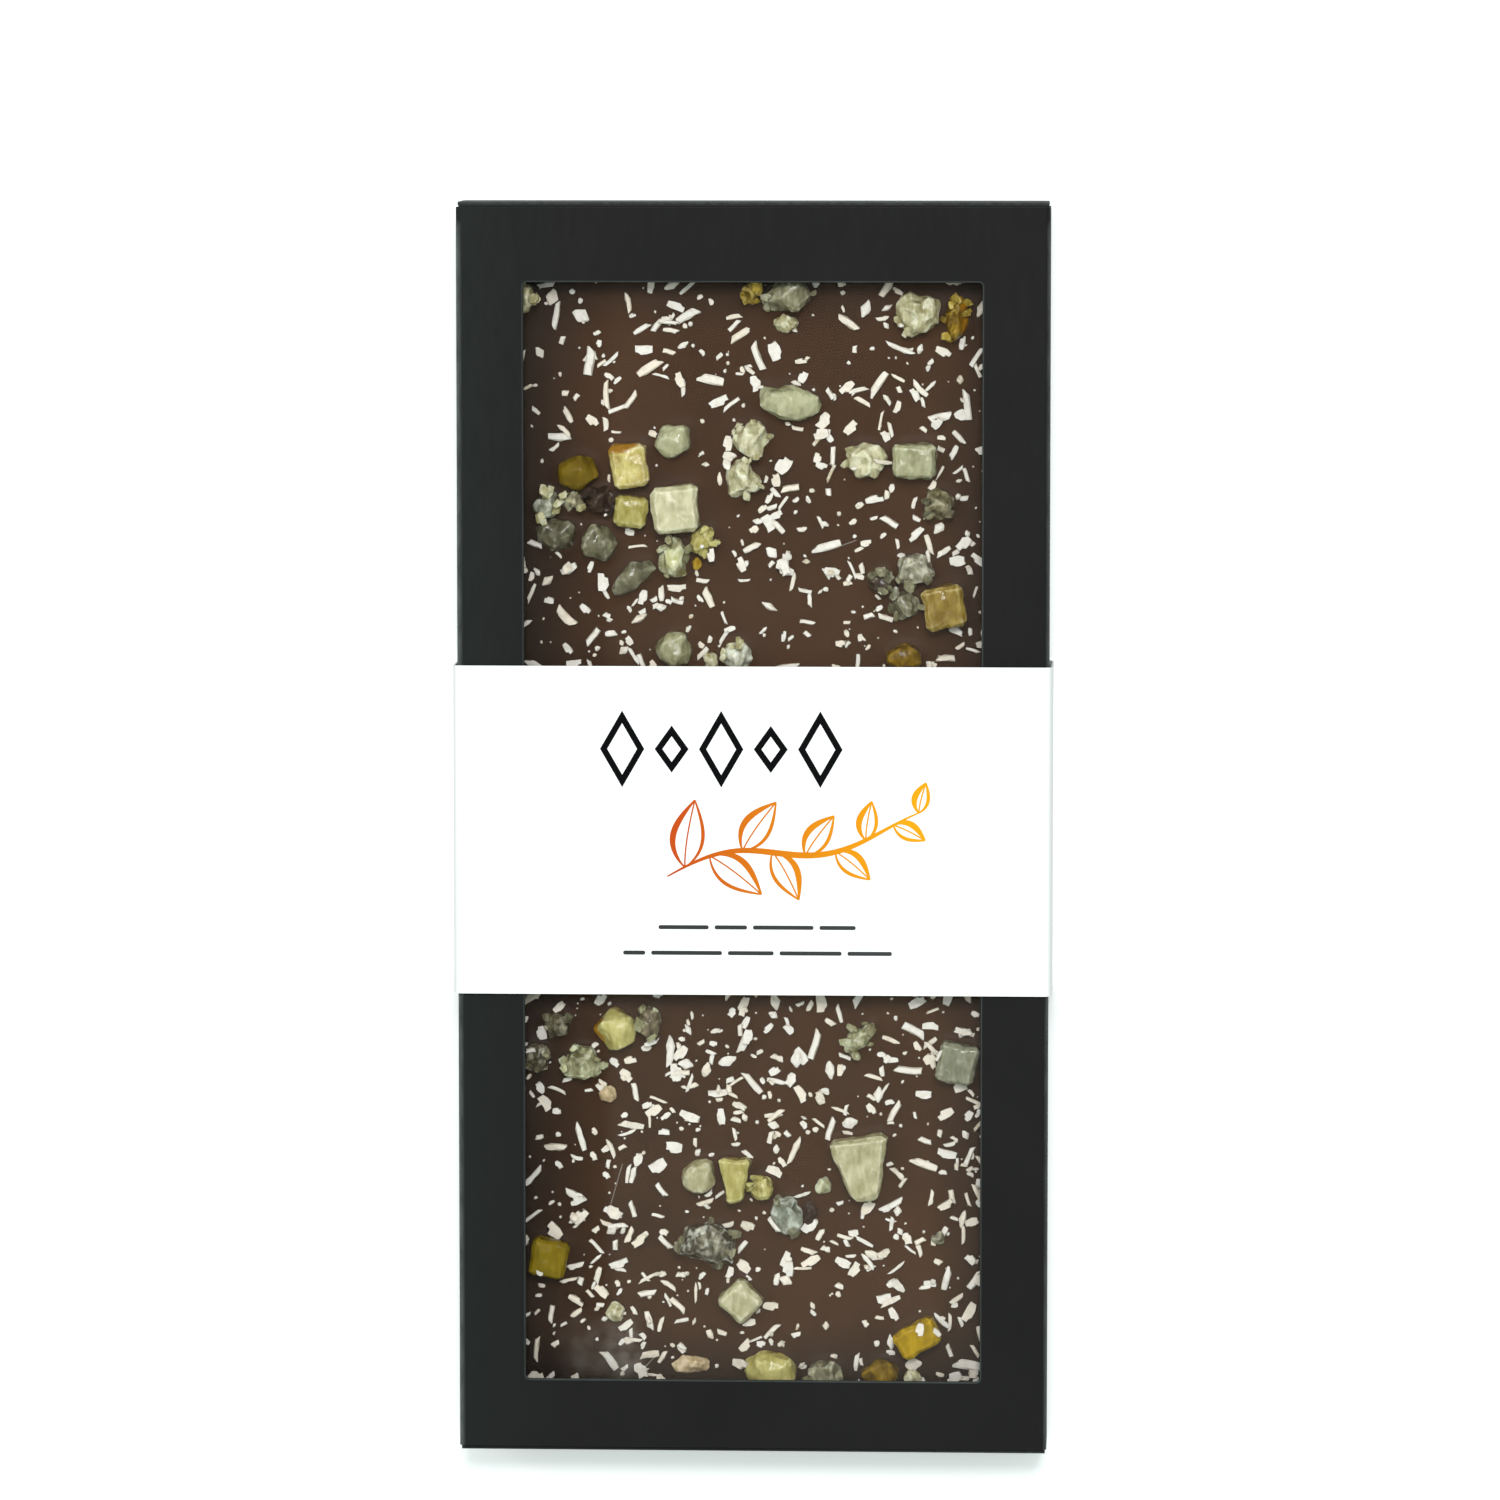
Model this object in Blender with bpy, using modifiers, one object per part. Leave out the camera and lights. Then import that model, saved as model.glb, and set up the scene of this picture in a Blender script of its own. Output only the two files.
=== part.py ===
"""A dark chocolate bar with coconut and candied peel, in a windowed carton with a paper band.

The pack lies on its back with the window up: +X runs to the right, +Y to the carton's top
end and +Z up, and the origin is under the middle of the pack. Lengths are in metres, apart
from the layout of the candied peel, which is in millimetres from the middle of the pack.
"""

import math
import random
from typing import NamedTuple

import bmesh
import bpy
from mathutils import Matrix, Vector

MM = 0.001

# Driving dimensions
CARTON_WIDTH = 0.080
CARTON_LENGTH = 0.170
CARTON_DEPTH = 0.0118
BOARD = 0.0005
FOLD_RADIUS = 0.0008
GAP = 0.0003

WINDOW_WIDTH = 0.0618
WINDOW_LENGTH = 0.1492
WINDOW_MIDDLE_Y = -0.0004
WINDOW_CORNER = 0.0006

FILM_THICKNESS = 0.0002
FILM_OVERLAP = 0.0025

BAND_WIDTH = 0.0446
BAND_MIDDLE_Y = 0.0002
BAND_THICKNESS = 0.00025

SLAB_WIDTH = 0.0755
SLAB_LENGTH = 0.162
SLAB_THICKNESS = 0.0064
SLAB_DRAFT = 0.0010
SLAB_ROUNDING = 0.0006

# The carton's ends: a closing panel hinged on the back, its tuck, and two side flaps
END_LIP = 0.0007
CLOSING_PANEL_WIDTH = 0.0796
CLOSING_PANEL_SHOULDER = 0.0009
TUCK_DEPTH = 0.0064
TUCK_NECK = 0.0006
TUCK_WIDTHS = (0.0784, 0.0750)
TUCK_RADIUS = 0.0005
SIDE_FLAP_REACH = 0.014
SIDE_FLAP_DROP = 0.0012

# Candied peel: how deep a piece or a crumb sits in the chocolate, and how uneven it is
PEEL_SUNK = 0.0014
CRUMB_SUNK = 0.0004
DICE_BEVEL_SHARE = 0.13
DICE_LEAN = 0.07
DICE_TAPER = 0.06
WEDGE_TAPER = 0.80
LUMP_POINTS = 15
LUMP_SQUARENESS = 0.45
LUMP_ROUGHNESS = (0.84, 1.06)
LUMP_STRAY = 0.3

# Coconut flakes that are fused to the slab, the large ones
FLAKE_COUNT = 190
FLAKE_SEED = 41
FLAKE_LENGTH = (0.0023, 0.0045)
FLAKE_WIDTH = (0.0008, 0.0014)
FLAKE_HEIGHT = (0.0006, 0.0009)
FLAKE_SINK_SHARE = 0.35
FLAKE_EDGE_MARGIN = 0.0020
FLAKE_SIDES = 6
FLAKE_TOP_SHARE = 0.7
FLAKE_RAGGED = (0.88, 1.06)
FLAKE_SHORT_BIAS = 1.6

# Share of flakes kept at the upper left, and how much more lie to the right and lower down
DENSITY_LEAST = 0.45
DENSITY_RIGHT = 0.35
DENSITY_LOW = 0.20

# Heights above the surface that the pack lies on
BACK_OUTER = BAND_THICKNESS + GAP
FRONT_OUTER = BACK_OUTER + CARTON_DEPTH
FRONT_INNER = FRONT_OUTER - BOARD
FILM_TOP = FRONT_INNER - GAP
SLAB_BOTTOM = BACK_OUTER + BOARD + GAP
SLAB_TOP = SLAB_BOTTOM + SLAB_THICKNESS

PANEL_LENGTH = CARTON_LENGTH - 2 * END_LIP


class Peel(NamedTuple):
    """One piece of candied peel: colour, form, middle, plan size, rise above the chocolate, turn."""

    colour: str
    form: str
    x: float
    y: float
    length: float
    width: float
    rise: float
    turn: float


# Upper window, then under the band, then lower window; millimetres and degrees
PEEL_LAYOUT = (
    Peel("pale", "lump", -31.0, 72.0, 2.8, 3.6, 2.2, 10),
    Peel("amber", "lump", -0.6, 72.9, 2.2, 2.8, 2.4, 20),
    Peel("grey", "lump", 4.4, 72.6, 6.4, 4.4, 2.6, 3),
    Peel("pale", "lump", 22.2, 69.7, 5.8, 5.8, 3.0, 5),
    Peel("amber", "lump", 27.2, 69.0, 3.2, 5.6, 2.6, 5),
    Peel("green", "lump", 5.0, 58.0, 8.6, 4.4, 2.8, -8),
    Peel("pale", "lump", -0.5, 53.2, 4.4, 4.9, 2.6, -20),
    Peel("green", "lump", -10.9, 52.7, 4.8, 4.4, 2.2, 20),
    Peel("pale", "lump", -1.5, 47.6, 4.3, 4.8, 2.4, 0),
    Peel("rind", "dice", -16.8, 49.4, 4.8, 5.9, 3.1, 9),
    Peel("amber", "lump", -24.1, 48.5, 5.7, 4.4, 2.4, 27),
    Peel("pale", "lump", -28.3, 44.3, 3.2, 3.2, 2.2, 0),
    Peel("pale", "lump", -24.7, 44.5, 2.6, 2.8, 2.0, 20),
    Peel("grey", "lump", -26.8, 40.1, 5.4, 4.3, 1.8, 0),
    Peel("grey", "lump", -21.2, 38.8, 4.8, 5.2, 2.0, 40),
    Peel("coated", "lump", -20.8, 44.5, 2.9, 3.4, 2.2, 0),
    Peel("yellow", "dice", -16.6, 43.2, 4.4, 4.2, 2.8, -6),
    Peel("pale", "dice", -10.6, 43.5, 6.1, 6.2, 3.2, 5),
    Peel("yellow", "lump", -6.7, 39.5, 3.9, 2.3, 2.2, 45),
    Peel("green", "lump", -11.1, 37.2, 4.2, 5.0, 2.6, 0),
    Peel("grey", "lump", -16.5, 34.2, 7.0, 2.9, 1.8, 38),
    Peel("green", "lump", -10.7, 24.5, 4.8, 4.7, 2.6, 0),
    Peel("pale", "lump", -2.0, 23.5, 4.1, 3.6, 2.4, 10),
    Peel("pale", "lump", 14.9, 50.5, 5.6, 4.8, 2.6, 5),
    Peel("green", "dice", 21.7, 50.1, 5.8, 4.6, 2.8, 0),
    Peel("grey", "lump", 24.9, 44.1, 3.9, 3.7, 1.8, 30),
    Peel("grey", "lump", 21.8, 35.3, 5.4, 4.2, 2.4, 10),
    Peel("grey", "lump", 17.3, 33.6, 3.0, 3.2, 1.6, 0),
    Peel("grey", "lump", 20.8, 30.9, 3.3, 3.7, 1.8, 15),
    Peel("amber", "dice", 25.8, 30.3, 5.4, 5.6, 3.0, 10),
    Peel("amber", "lump", 20.2, 23.6, 4.3, 3.2, 2.6, -10),
    Peel("pale", "lump", -22.4, 11.6, 4.6, 4.4, 2.6, 24),
    Peel("yellow", "dice", 5.8, 12.4, 4.2, 4.4, 2.6, -15),
    Peel("grey", "lump", 24.6, 2.8, 4.6, 3.8, 2.0, 30),
    Peel("amber", "dice", -9.6, -5.2, 4.4, 4.2, 2.6, 12),
    Peel("green", "lump", 13.2, -13.6, 4.8, 4.0, 2.2, 50),
    Peel("yellow", "lump", -18.8, -27.3, 5.4, 5.4, 3.0, 0),
    Peel("green", "lump", -14.3, -27.0, 2.8, 4.8, 2.4, 0),
    Peel("grey", "lump", -26.6, -27.0, 2.9, 3.4, 1.8, 0),
    Peel("grey", "lump", -29.9, -31.2, 3.4, 4.4, 1.8, 0),
    Peel("green", "lump", -23.6, -32.1, 5.2, 4.2, 2.4, 15),
    Peel("pale", "lump", -7.4, -47.7, 4.6, 4.8, 2.6, 0),
    Peel("yellow", "wedge", -2.5, -48.0, 3.1, 6.0, 2.8, 0),
    Peel("yellow", "lump", 0.9, -49.2, 2.8, 2.9, 2.2, 10),
    Peel("green", "lump", 14.4, -28.4, 6.0, 2.7, 1.8, 42),
    Peel("grey", "dice", 27.7, -31.8, 5.3, 5.3, 2.8, -12),
    Peel("pale", "wedge", 14.8, -46.3, 5.8, 8.6, 3.2, 8),
    Peel("amber", "dice", -28.0, -59.0, 5.0, 5.2, 2.6, -12),
    Peel("grey", "lump", -6.0, -56.8, 8.4, 6.0, 2.2, -4),
    Peel("pale", "dice", -1.7, -64.6, 4.7, 4.7, 2.8, 44),
    Peel("yellow", "lump", 2.2, -74.0, 7.0, 4.6, 2.6, -5),
    Peel("grey", "lump", 4.3, -53.0, 3.8, 5.7, 2.0, 0),
    Peel("amber", "dice", 22.4, -69.5, 5.9, 3.9, 2.8, 28),
    Peel("grey", "lump", 9.6, -74.8, 5.2, 4.0, 2.2, 0),
    Peel("amber", "lump", 17.2, -74.6, 4.8, 4.0, 2.4, 0),
)

# Crumbs of peel that are too small for a piece of their own, fused to the slab
CRUMB_LAYOUT = (
    Peel("pale", "lump", 4.2, 68.6, 3.0, 2.0, 1.2, 25),
    Peel("amber", "lump", -7.8, 36.1, 1.3, 1.7, 1.0, 0),
    Peel("pale", "lump", -5.8, 22.9, 2.1, 2.1, 1.2, 0),
    Peel("pale", "lump", -19.8, -36.3, 2.2, 2.2, 1.0, 20),
    Peel("green", "lump", 9.4, -48.8, 2.2, 2.2, 1.0, 0),
    Peel("coated", "lump", 7.6, -52.6, 2.2, 3.6, 1.0, 0),
    Peel("grey", "lump", 25.2, -55.9, 1.6, 1.7, 0.8, 0),
    Peel("pale", "lump", -8.7, -73.6, 5.4, 1.8, 1.0, -15),
    Peel("pale", "lump", -18.9, -66.6, 2.2, 2.7, 1.2, 0),
    Peel("pale", "lump", 21.7, -75.2, 2.7, 1.9, 1.0, 0),
)

COLOURS = {
    "carton_board": ((40, 42, 41), 0.62),
    "window_film": ((235, 238, 238), 0.08),
    "band_paper": ((250, 250, 249), 0.75),
    "dark_chocolate": ((74, 54, 43), 0.48),
    "peel_pale": ((203, 203, 165), 0.35),
    "peel_green": ((168, 172, 130), 0.35),
    "peel_yellow": ((196, 184, 96), 0.30),
    "peel_rind": ((214, 170, 74), 0.30),
    "peel_amber": ((166, 120, 26), 0.28),
    "peel_grey": ((118, 122, 100), 0.25),
    "peel_coated": ((70, 48, 40), 0.40),
}


def linear(channel):
    """Turn one 0 to 255 display value into scene light."""
    value = channel / 255
    return value / 12.92 if value <= 0.04045 else ((value + 0.055) / 1.055) ** 2.4


def material(name):
    """Make or find the Principled material of that name."""
    found = bpy.data.materials.get(name)
    if found:
        return found
    colour, roughness = COLOURS[name]
    made = bpy.data.materials.new(name)
    made.use_nodes = True
    shader = made.node_tree.nodes["Principled BSDF"]
    shader.inputs["Base Color"].default_value = (*map(linear, colour), 1.0)
    shader.inputs["Roughness"].default_value = roughness
    shader.inputs["Metallic"].default_value = 0.0
    if name == "window_film":
        shader.inputs["Alpha"].default_value = 0.15
    return made


def clear_scene():
    """Remove whatever the scene holds."""
    for obj in list(bpy.data.objects):
        bpy.data.objects.remove(obj, do_unlink=True)


def new_collection(name):
    """Add a collection to the scene."""
    made = bpy.data.collections.new(name)
    bpy.context.scene.collection.children.link(made)
    return made


def add_object(name, bm, collection, finish):
    """Turn the bmesh into a named object with its material, and free it."""
    mesh = bpy.data.meshes.new(name)
    bm.to_mesh(mesh)
    bm.free()
    mesh.materials.append(material(finish))
    obj = bpy.data.objects.new(name, mesh)
    collection.objects.link(obj)
    return obj


def as_cutter(obj):
    """Keep a helper out of the render and show it as wire."""
    obj.hide_render = True
    obj.display_type = "WIRE"
    return obj


def box(size, middle):
    """A bmesh box of that size around that middle."""
    bm = bmesh.new()
    bmesh.ops.create_cube(bm, size=1.0)
    bmesh.ops.scale(bm, vec=size, verts=bm.verts)
    bmesh.ops.translate(bm, vec=middle, verts=bm.verts)
    return bm


def edges_along(bm, axis):
    """The edges that run along one axis, 0 to 2 for X to Z."""
    found = []
    for edge in bm.edges:
        run = edge.verts[1].co - edge.verts[0].co
        if abs(run[axis]) > 0.99 * run.length:
            found.append(edge)
    return found


def open_sleeve(size, middle, radius, segments):
    """A box without its two Y ends, with its four long folds rounded."""
    bm = box(size, middle)
    bm.normal_update()
    ends = [face for face in bm.faces if abs(face.normal.y) > 0.5]
    bmesh.ops.delete(bm, geom=ends, context="FACES_ONLY")
    bmesh.ops.bevel(
        bm,
        geom=edges_along(bm, 1),
        offset=radius,
        segments=segments,
        profile=0.5,
        affect="EDGES",
    )
    return bm


def edge_at(bm, axis, **place):
    """The longest edge along an axis whose two ends lie at the given coordinates."""

    def fits(edge):
        return all(
            abs(vert.co["xyz".index(name)] - value) < 1e-6
            for vert in edge.verts
            for name, value in place.items()
        )

    return max((e for e in edges_along(bm, axis) if fits(e)), key=lambda e: e.calc_length())


def extrude_edge(bm, edge, move):
    """Pull a panel out of an edge and return the panel's far edge."""
    made = bmesh.ops.extrude_edge_only(bm, edges=[edge])["geom"]
    verts = [item for item in made if isinstance(item, bmesh.types.BMVert)]
    bmesh.ops.translate(bm, vec=move, verts=verts)
    return next(
        item
        for item in made
        if isinstance(item, bmesh.types.BMEdge) and all(v in verts for v in item.verts)
    )


def split_side_panels(bm):
    """Divide both side panels lengthwise, at the height of the side flaps' upper edge."""
    top = FRONT_INNER - GAP - BOARD - SIDE_FLAP_DROP
    panels = [face for face in bm.faces if abs(face.normal.x) > 0.99]
    edges = {edge for face in panels for edge in face.edges}
    bmesh.ops.bisect_plane(
        bm, geom=panels + list(edges), plane_co=(0, 0, top), plane_no=(0, 0, 1)
    )


def add_side_flaps(bm, end):
    """Fold a short flap inwards from each side panel, behind the closing panel."""
    for side in (-1, 1):
        lower = edge_at(bm, 2, x=side * CARTON_WIDTH / 2, y=end * PANEL_LENGTH / 2)
        extrude_edge(bm, lower, (-side * SIDE_FLAP_REACH, 0, 0))


def set_width(edge, width):
    """Stretch an edge along X to that width."""
    for vert in edge.verts:
        vert.co.x = math.copysign(width / 2, vert.co.x)


def add_closing_panel(bm, end):
    """Fold the back panel's end up across the opening and tuck it in behind the front panel."""
    hinge = edge_at(bm, 0, y=end * PANEL_LENGTH / 2, z=BACK_OUTER)
    bmesh.ops.translate(bm, vec=(0, end * END_LIP, 0), verts=hinge.verts)
    shoulder = extrude_edge(bm, hinge, (0, 0, CLOSING_PANEL_SHOULDER))
    set_width(shoulder, CLOSING_PANEL_WIDTH)
    rise = FRONT_INNER - GAP - BACK_OUTER - CLOSING_PANEL_SHOULDER
    fold = extrude_edge(bm, shoulder, (0, 0, rise))
    neck = extrude_edge(bm, fold, (0, -end * TUCK_NECK, 0))
    set_width(neck, TUCK_WIDTHS[0])
    tip = extrude_edge(bm, neck, (0, -end * (TUCK_DEPTH - TUCK_NECK), 0))
    set_width(tip, TUCK_WIDTHS[1])
    bmesh.ops.bevel(
        bm, geom=[fold], offset=TUCK_RADIUS, segments=2, profile=0.5, affect="EDGES"
    )


def build_carton(parts, cutters):
    """One folded sheet of board with its window cut out."""
    middle = (0, 0, BACK_OUTER + CARTON_DEPTH / 2)
    bm = open_sleeve((CARTON_WIDTH, PANEL_LENGTH, CARTON_DEPTH), middle, FOLD_RADIUS, 2)
    bm.normal_update()
    split_side_panels(bm)
    for end in (-1, 1):
        add_side_flaps(bm, end)
        add_closing_panel(bm, end)
    bmesh.ops.recalc_face_normals(bm, faces=bm.faces)
    front = max(bm.faces, key=lambda face: face.calc_center_median().z)
    if front.normal.z < 0:
        bmesh.ops.reverse_faces(bm, faces=bm.faces)
    carton = add_object("carton", bm, parts, "carton_board")
    board = carton.modifiers.new("board", "SOLIDIFY")
    board.thickness = BOARD
    board.offset = -1
    board.use_even_offset = True

    hole = box(
        (WINDOW_WIDTH, WINDOW_LENGTH, 6 * BOARD),
        (0, WINDOW_MIDDLE_Y, FRONT_OUTER - BOARD / 2),
    )
    bmesh.ops.bevel(
        hole,
        geom=edges_along(hole, 2),
        offset=WINDOW_CORNER,
        segments=2,
        profile=0.5,
        affect="EDGES",
    )
    cutter = as_cutter(add_object("window_cutter", hole, cutters, "carton_board"))
    window = carton.modifiers.new("window", "BOOLEAN")
    window.operation = "DIFFERENCE"
    window.object = cutter


def build_film(parts):
    """The clear sheet glued behind the window."""
    size = (
        WINDOW_WIDTH + 2 * FILM_OVERLAP,
        WINDOW_LENGTH + 2 * FILM_OVERLAP,
        FILM_THICKNESS,
    )
    bm = box(size, (0, WINDOW_MIDDLE_Y, FILM_TOP - FILM_THICKNESS / 2))
    bmesh.ops.bevel(
        bm,
        geom=edges_along(bm, 2),
        offset=FILM_OVERLAP / 2,
        segments=2,
        profile=0.5,
        affect="EDGES",
    )
    add_object("window_film", bm, parts, "window_film")


def build_band(parts):
    """The paper band that wraps the middle of the carton."""
    size = (CARTON_WIDTH + 2 * GAP, BAND_WIDTH, CARTON_DEPTH + 2 * GAP)
    middle = (0, BAND_MIDDLE_Y, BACK_OUTER + CARTON_DEPTH / 2)
    bm = open_sleeve(size, middle, FOLD_RADIUS + GAP, 3)
    band = add_object("paper_band", bm, parts, "band_paper")
    paper = band.modifiers.new("paper", "SOLIDIFY")
    paper.thickness = BAND_THICKNESS
    paper.offset = 1
    paper.use_even_offset = True


def wrap_points(bm):
    """Close the loose points with their convex hull."""
    hull = bmesh.ops.convex_hull(bm, input=bm.verts)
    loose = [item for item in hull["geom_interior"] if isinstance(item, bmesh.types.BMVert)]
    bmesh.ops.delete(bm, geom=loose, context="VERTS")


def lump(size, seed):
    """A rough lump: the hull of points spread over a squared-off ellipsoid."""
    draw = random.Random(seed)
    golden_turn = math.pi * (3 - math.sqrt(5))
    bm = bmesh.new()
    for index in range(LUMP_POINTS):
        height = 1 - 2 * (index + 0.5) / LUMP_POINTS
        around = index * golden_turn + draw.uniform(-LUMP_STRAY, LUMP_STRAY)
        ring = math.sqrt(1 - height * height)
        on_ball = Vector((ring * math.cos(around), ring * math.sin(around), height))
        on_cube = on_ball / max(map(abs, on_ball))
        point = on_ball.lerp(on_cube, LUMP_SQUARENESS) * draw.uniform(*LUMP_ROUGHNESS) / 2
        bm.verts.new(Vector(share * length for share, length in zip(point, size)))
    wrap_points(bm)
    return bm


def dice(size, seed, taper):
    """A cut cube with worn edges and corners that are a little out of true."""
    draw = random.Random(seed)
    bm = box(size, (0, 0, 0))
    bmesh.ops.bevel(
        bm,
        geom=bm.edges,
        offset=DICE_BEVEL_SHARE * min(size),
        segments=1,
        profile=0.5,
        affect="EDGES",
    )
    lean = [draw.uniform(-DICE_LEAN, DICE_LEAN) for _ in range(3)]
    for vert in bm.verts:
        along = vert.co.y / size[1]
        across = vert.co.x / size[0]
        vert.co.x *= 1 + taper * along + lean[0] * vert.co.z / size[2]
        vert.co.y *= 1 + lean[1] * across
        vert.co.z *= 1 + lean[2] * (along + across)
    return bm


def peel_shape(piece, seed, grow=0.0, sunk=PEEL_SUNK):
    """The piece of peel in place, with all its sides moved outwards by grow."""
    size = Vector((piece.length * MM, piece.width * MM, piece.rise * MM + sunk))
    if piece.form == "lump":
        bm = lump(size, seed)
    else:
        bm = dice(size, seed, WEDGE_TAPER if piece.form == "wedge" else DICE_TAPER)
    bmesh.ops.scale(bm, vec=Vector((s + 2 * grow) / s for s in size), verts=bm.verts)
    turn = Matrix.Rotation(math.radians(piece.turn), 4, "Z")
    place = Vector((piece.x * MM, piece.y * MM, SLAB_TOP - sunk + size.z / 2))
    bmesh.ops.transform(bm, matrix=Matrix.Translation(place) @ turn, verts=bm.verts)
    bmesh.ops.recalc_face_normals(bm, faces=bm.faces)
    return bm


def build_peel(parts, pockets):
    """Each piece of peel, and the pocket that it leaves in the chocolate."""
    counts = {}
    for seed, piece in enumerate(PEEL_LAYOUT):
        counts[piece.colour] = counts.get(piece.colour, 0) + 1
        name = f"peel_{piece.colour}_{counts[piece.colour]:02d}"
        add_object(name, peel_shape(piece, seed), parts, f"peel_{piece.colour}")
        pocket = peel_shape(piece, seed, grow=GAP)
        as_cutter(add_object(f"pocket_{seed:02d}", pocket, pockets, "dark_chocolate"))


def free_of_peel(x, y, margin):
    """Whether a point of the chocolate's top is clear of every piece and crumb of peel."""
    for piece in PEEL_LAYOUT + CRUMB_LAYOUT:
        turn = math.radians(piece.turn)
        dx, dy = x - piece.x * MM, y - piece.y * MM
        along = abs(dx * math.cos(turn) + dy * math.sin(turn))
        across = abs(dy * math.cos(turn) - dx * math.sin(turn))
        if along < piece.length * MM / 2 + margin and across < piece.width * MM / 2 + margin:
            return False
    return True


class Flake(NamedTuple):
    """One coconut flake: its middle, turn, length, width and height."""

    x: float
    y: float
    turn: float
    length: float
    width: float
    height: float

    def points(self):
        """Both ends and the middle of the flake, on the chocolate's top."""
        run_x = math.cos(self.turn) * self.length / 2
        run_y = math.sin(self.turn) * self.length / 2
        return [(self.x + k * run_x, self.y + k * run_y) for k in (-1, 0, 1)]


def flake_density(x, y):
    """The share of flakes kept at a place: more to the right and towards the lower end."""
    right = x / SLAB_WIDTH + 0.5
    low = 0.5 - y / SLAB_LENGTH
    return DENSITY_LEAST + right * DENSITY_RIGHT + low * DENSITY_LOW


def scatter_flakes():
    """Places for the large flakes, clear of the peel, of the slab's edge and of each other."""
    draw = random.Random(FLAKE_SEED)
    half_x = SLAB_WIDTH / 2 - FLAKE_EDGE_MARGIN
    half_y = SLAB_LENGTH / 2 - FLAKE_EDGE_MARGIN
    flakes = []
    while len(flakes) < FLAKE_COUNT:
        size_share = draw.random() ** FLAKE_SHORT_BIAS
        flake = Flake(
            x=draw.uniform(-half_x, half_x),
            y=draw.uniform(-half_y, half_y),
            turn=draw.uniform(0, math.pi),
            length=FLAKE_LENGTH[0] + size_share * (FLAKE_LENGTH[1] - FLAKE_LENGTH[0]),
            width=draw.uniform(*FLAKE_WIDTH),
            height=draw.uniform(*FLAKE_HEIGHT),
        )
        if draw.random() > flake_density(flake.x, flake.y):
            continue
        ends = flake.points()
        if any(abs(x) > half_x or abs(y) > half_y for x, y in ends):
            continue
        if not all(free_of_peel(x, y, flake.width / 2 + 2 * GAP) for x, y in ends):
            continue
        clear = FLAKE_WIDTH[1] + GAP
        if any(
            math.dist(a, b) < clear for other in flakes for a in ends for b in other.points()
        ):
            continue
        flakes.append(flake)
    return flakes


def flake_shape(flake, seed):
    """A small rod with a rough hexagonal outline and a narrower top."""
    draw = random.Random(seed)
    end_corner = math.cos(math.pi / FLAKE_SIDES)
    bm = bmesh.new()
    for level, share in ((-0.5, 1.0), (0.5, FLAKE_TOP_SHARE)):
        for side in range(FLAKE_SIDES):
            around = 2 * math.pi * (side + 0.5) / FLAKE_SIDES
            reach = share * draw.uniform(*FLAKE_RAGGED) / 2
            x = flake.length * reach * math.cos(around) / end_corner
            y = flake.width * reach * math.sin(around)
            bm.verts.new((x, y, flake.height * level))
    wrap_points(bm)
    turn = Matrix.Rotation(flake.turn, 4, "Z")
    height = SLAB_TOP + (0.5 - FLAKE_SINK_SHARE) * flake.height
    place = Matrix.Translation((flake.x, flake.y, height))
    bmesh.ops.transform(bm, matrix=place @ turn, verts=bm.verts)
    bmesh.ops.recalc_face_normals(bm, faces=bm.faces)
    return bm


def slab_block():
    """The moulded block: narrower at its back, with all its edges rounded."""
    middle = (0, 0, SLAB_BOTTOM + SLAB_THICKNESS / 2)
    bm = box((SLAB_WIDTH, SLAB_LENGTH, SLAB_THICKNESS), middle)
    for vert in bm.verts:
        if vert.co.z < middle[2]:
            vert.co.x -= math.copysign(SLAB_DRAFT, vert.co.x)
            vert.co.y -= math.copysign(SLAB_DRAFT, vert.co.y)
    bmesh.ops.bevel(
        bm,
        geom=bm.edges,
        offset=SLAB_ROUNDING,
        segments=2,
        profile=0.5,
        affect="EDGES",
    )
    return bm


def combine(obj, name, operation, collection):
    """Apply one Boolean with everything in the collection, then empty the collection."""
    step = obj.modifiers.new(name, "BOOLEAN")
    step.operation = operation
    step.operand_type = "COLLECTION"
    step.collection = collection
    bpy.context.view_layer.update()
    graph = bpy.context.evaluated_depsgraph_get()
    mesh = bpy.data.meshes.new_from_object(obj.evaluated_get(graph))
    obj.modifiers.clear()
    obj.data = mesh
    for helper in list(collection.objects):
        bpy.data.objects.remove(helper, do_unlink=True)
    bpy.data.collections.remove(collection)


def build_slab(parts, pockets):
    """The chocolate, with pockets for the peel and with crumbs and large flakes fused to it."""
    slab = add_object("chocolate_slab", slab_block(), parts, "dark_chocolate")
    combine(slab, "pockets", "DIFFERENCE", pockets)
    toppings = new_collection("toppings")
    for seed, crumb in enumerate(CRUMB_LAYOUT):
        shape = peel_shape(crumb, seed, sunk=CRUMB_SUNK)
        as_cutter(add_object(f"crumb_{seed:02d}", shape, toppings, "dark_chocolate"))
    for seed, flake in enumerate(scatter_flakes()):
        shape = flake_shape(flake, seed)
        as_cutter(add_object(f"flake_{seed:03d}", shape, toppings, "dark_chocolate"))
    combine(slab, "toppings", "UNION", toppings)


def main():
    """Build the pack."""
    clear_scene()
    parts = new_collection("windowed_chocolate_bar")
    cutters = new_collection("cutters")
    pockets = new_collection("pockets")
    build_carton(parts, cutters)
    build_film(parts)
    build_band(parts)
    build_peel(parts, pockets)
    build_slab(parts, pockets)


main()
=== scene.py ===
"""Looks of a dark chocolate bar with coconut and candied citrus peel, in a windowed carton with a band.

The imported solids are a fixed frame. Each class below holds the sizes of one sub-assembly and models
its pieces round that frame: the carton, the window film, the paper band and its print, the peel, the
chocolate and the coconut. The studio then adds the floor, the lamps and the camera. The pack lies on
its back with the window up, +X runs to the right and +Y to the carton's top end. Lengths are metres.
"""

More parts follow.
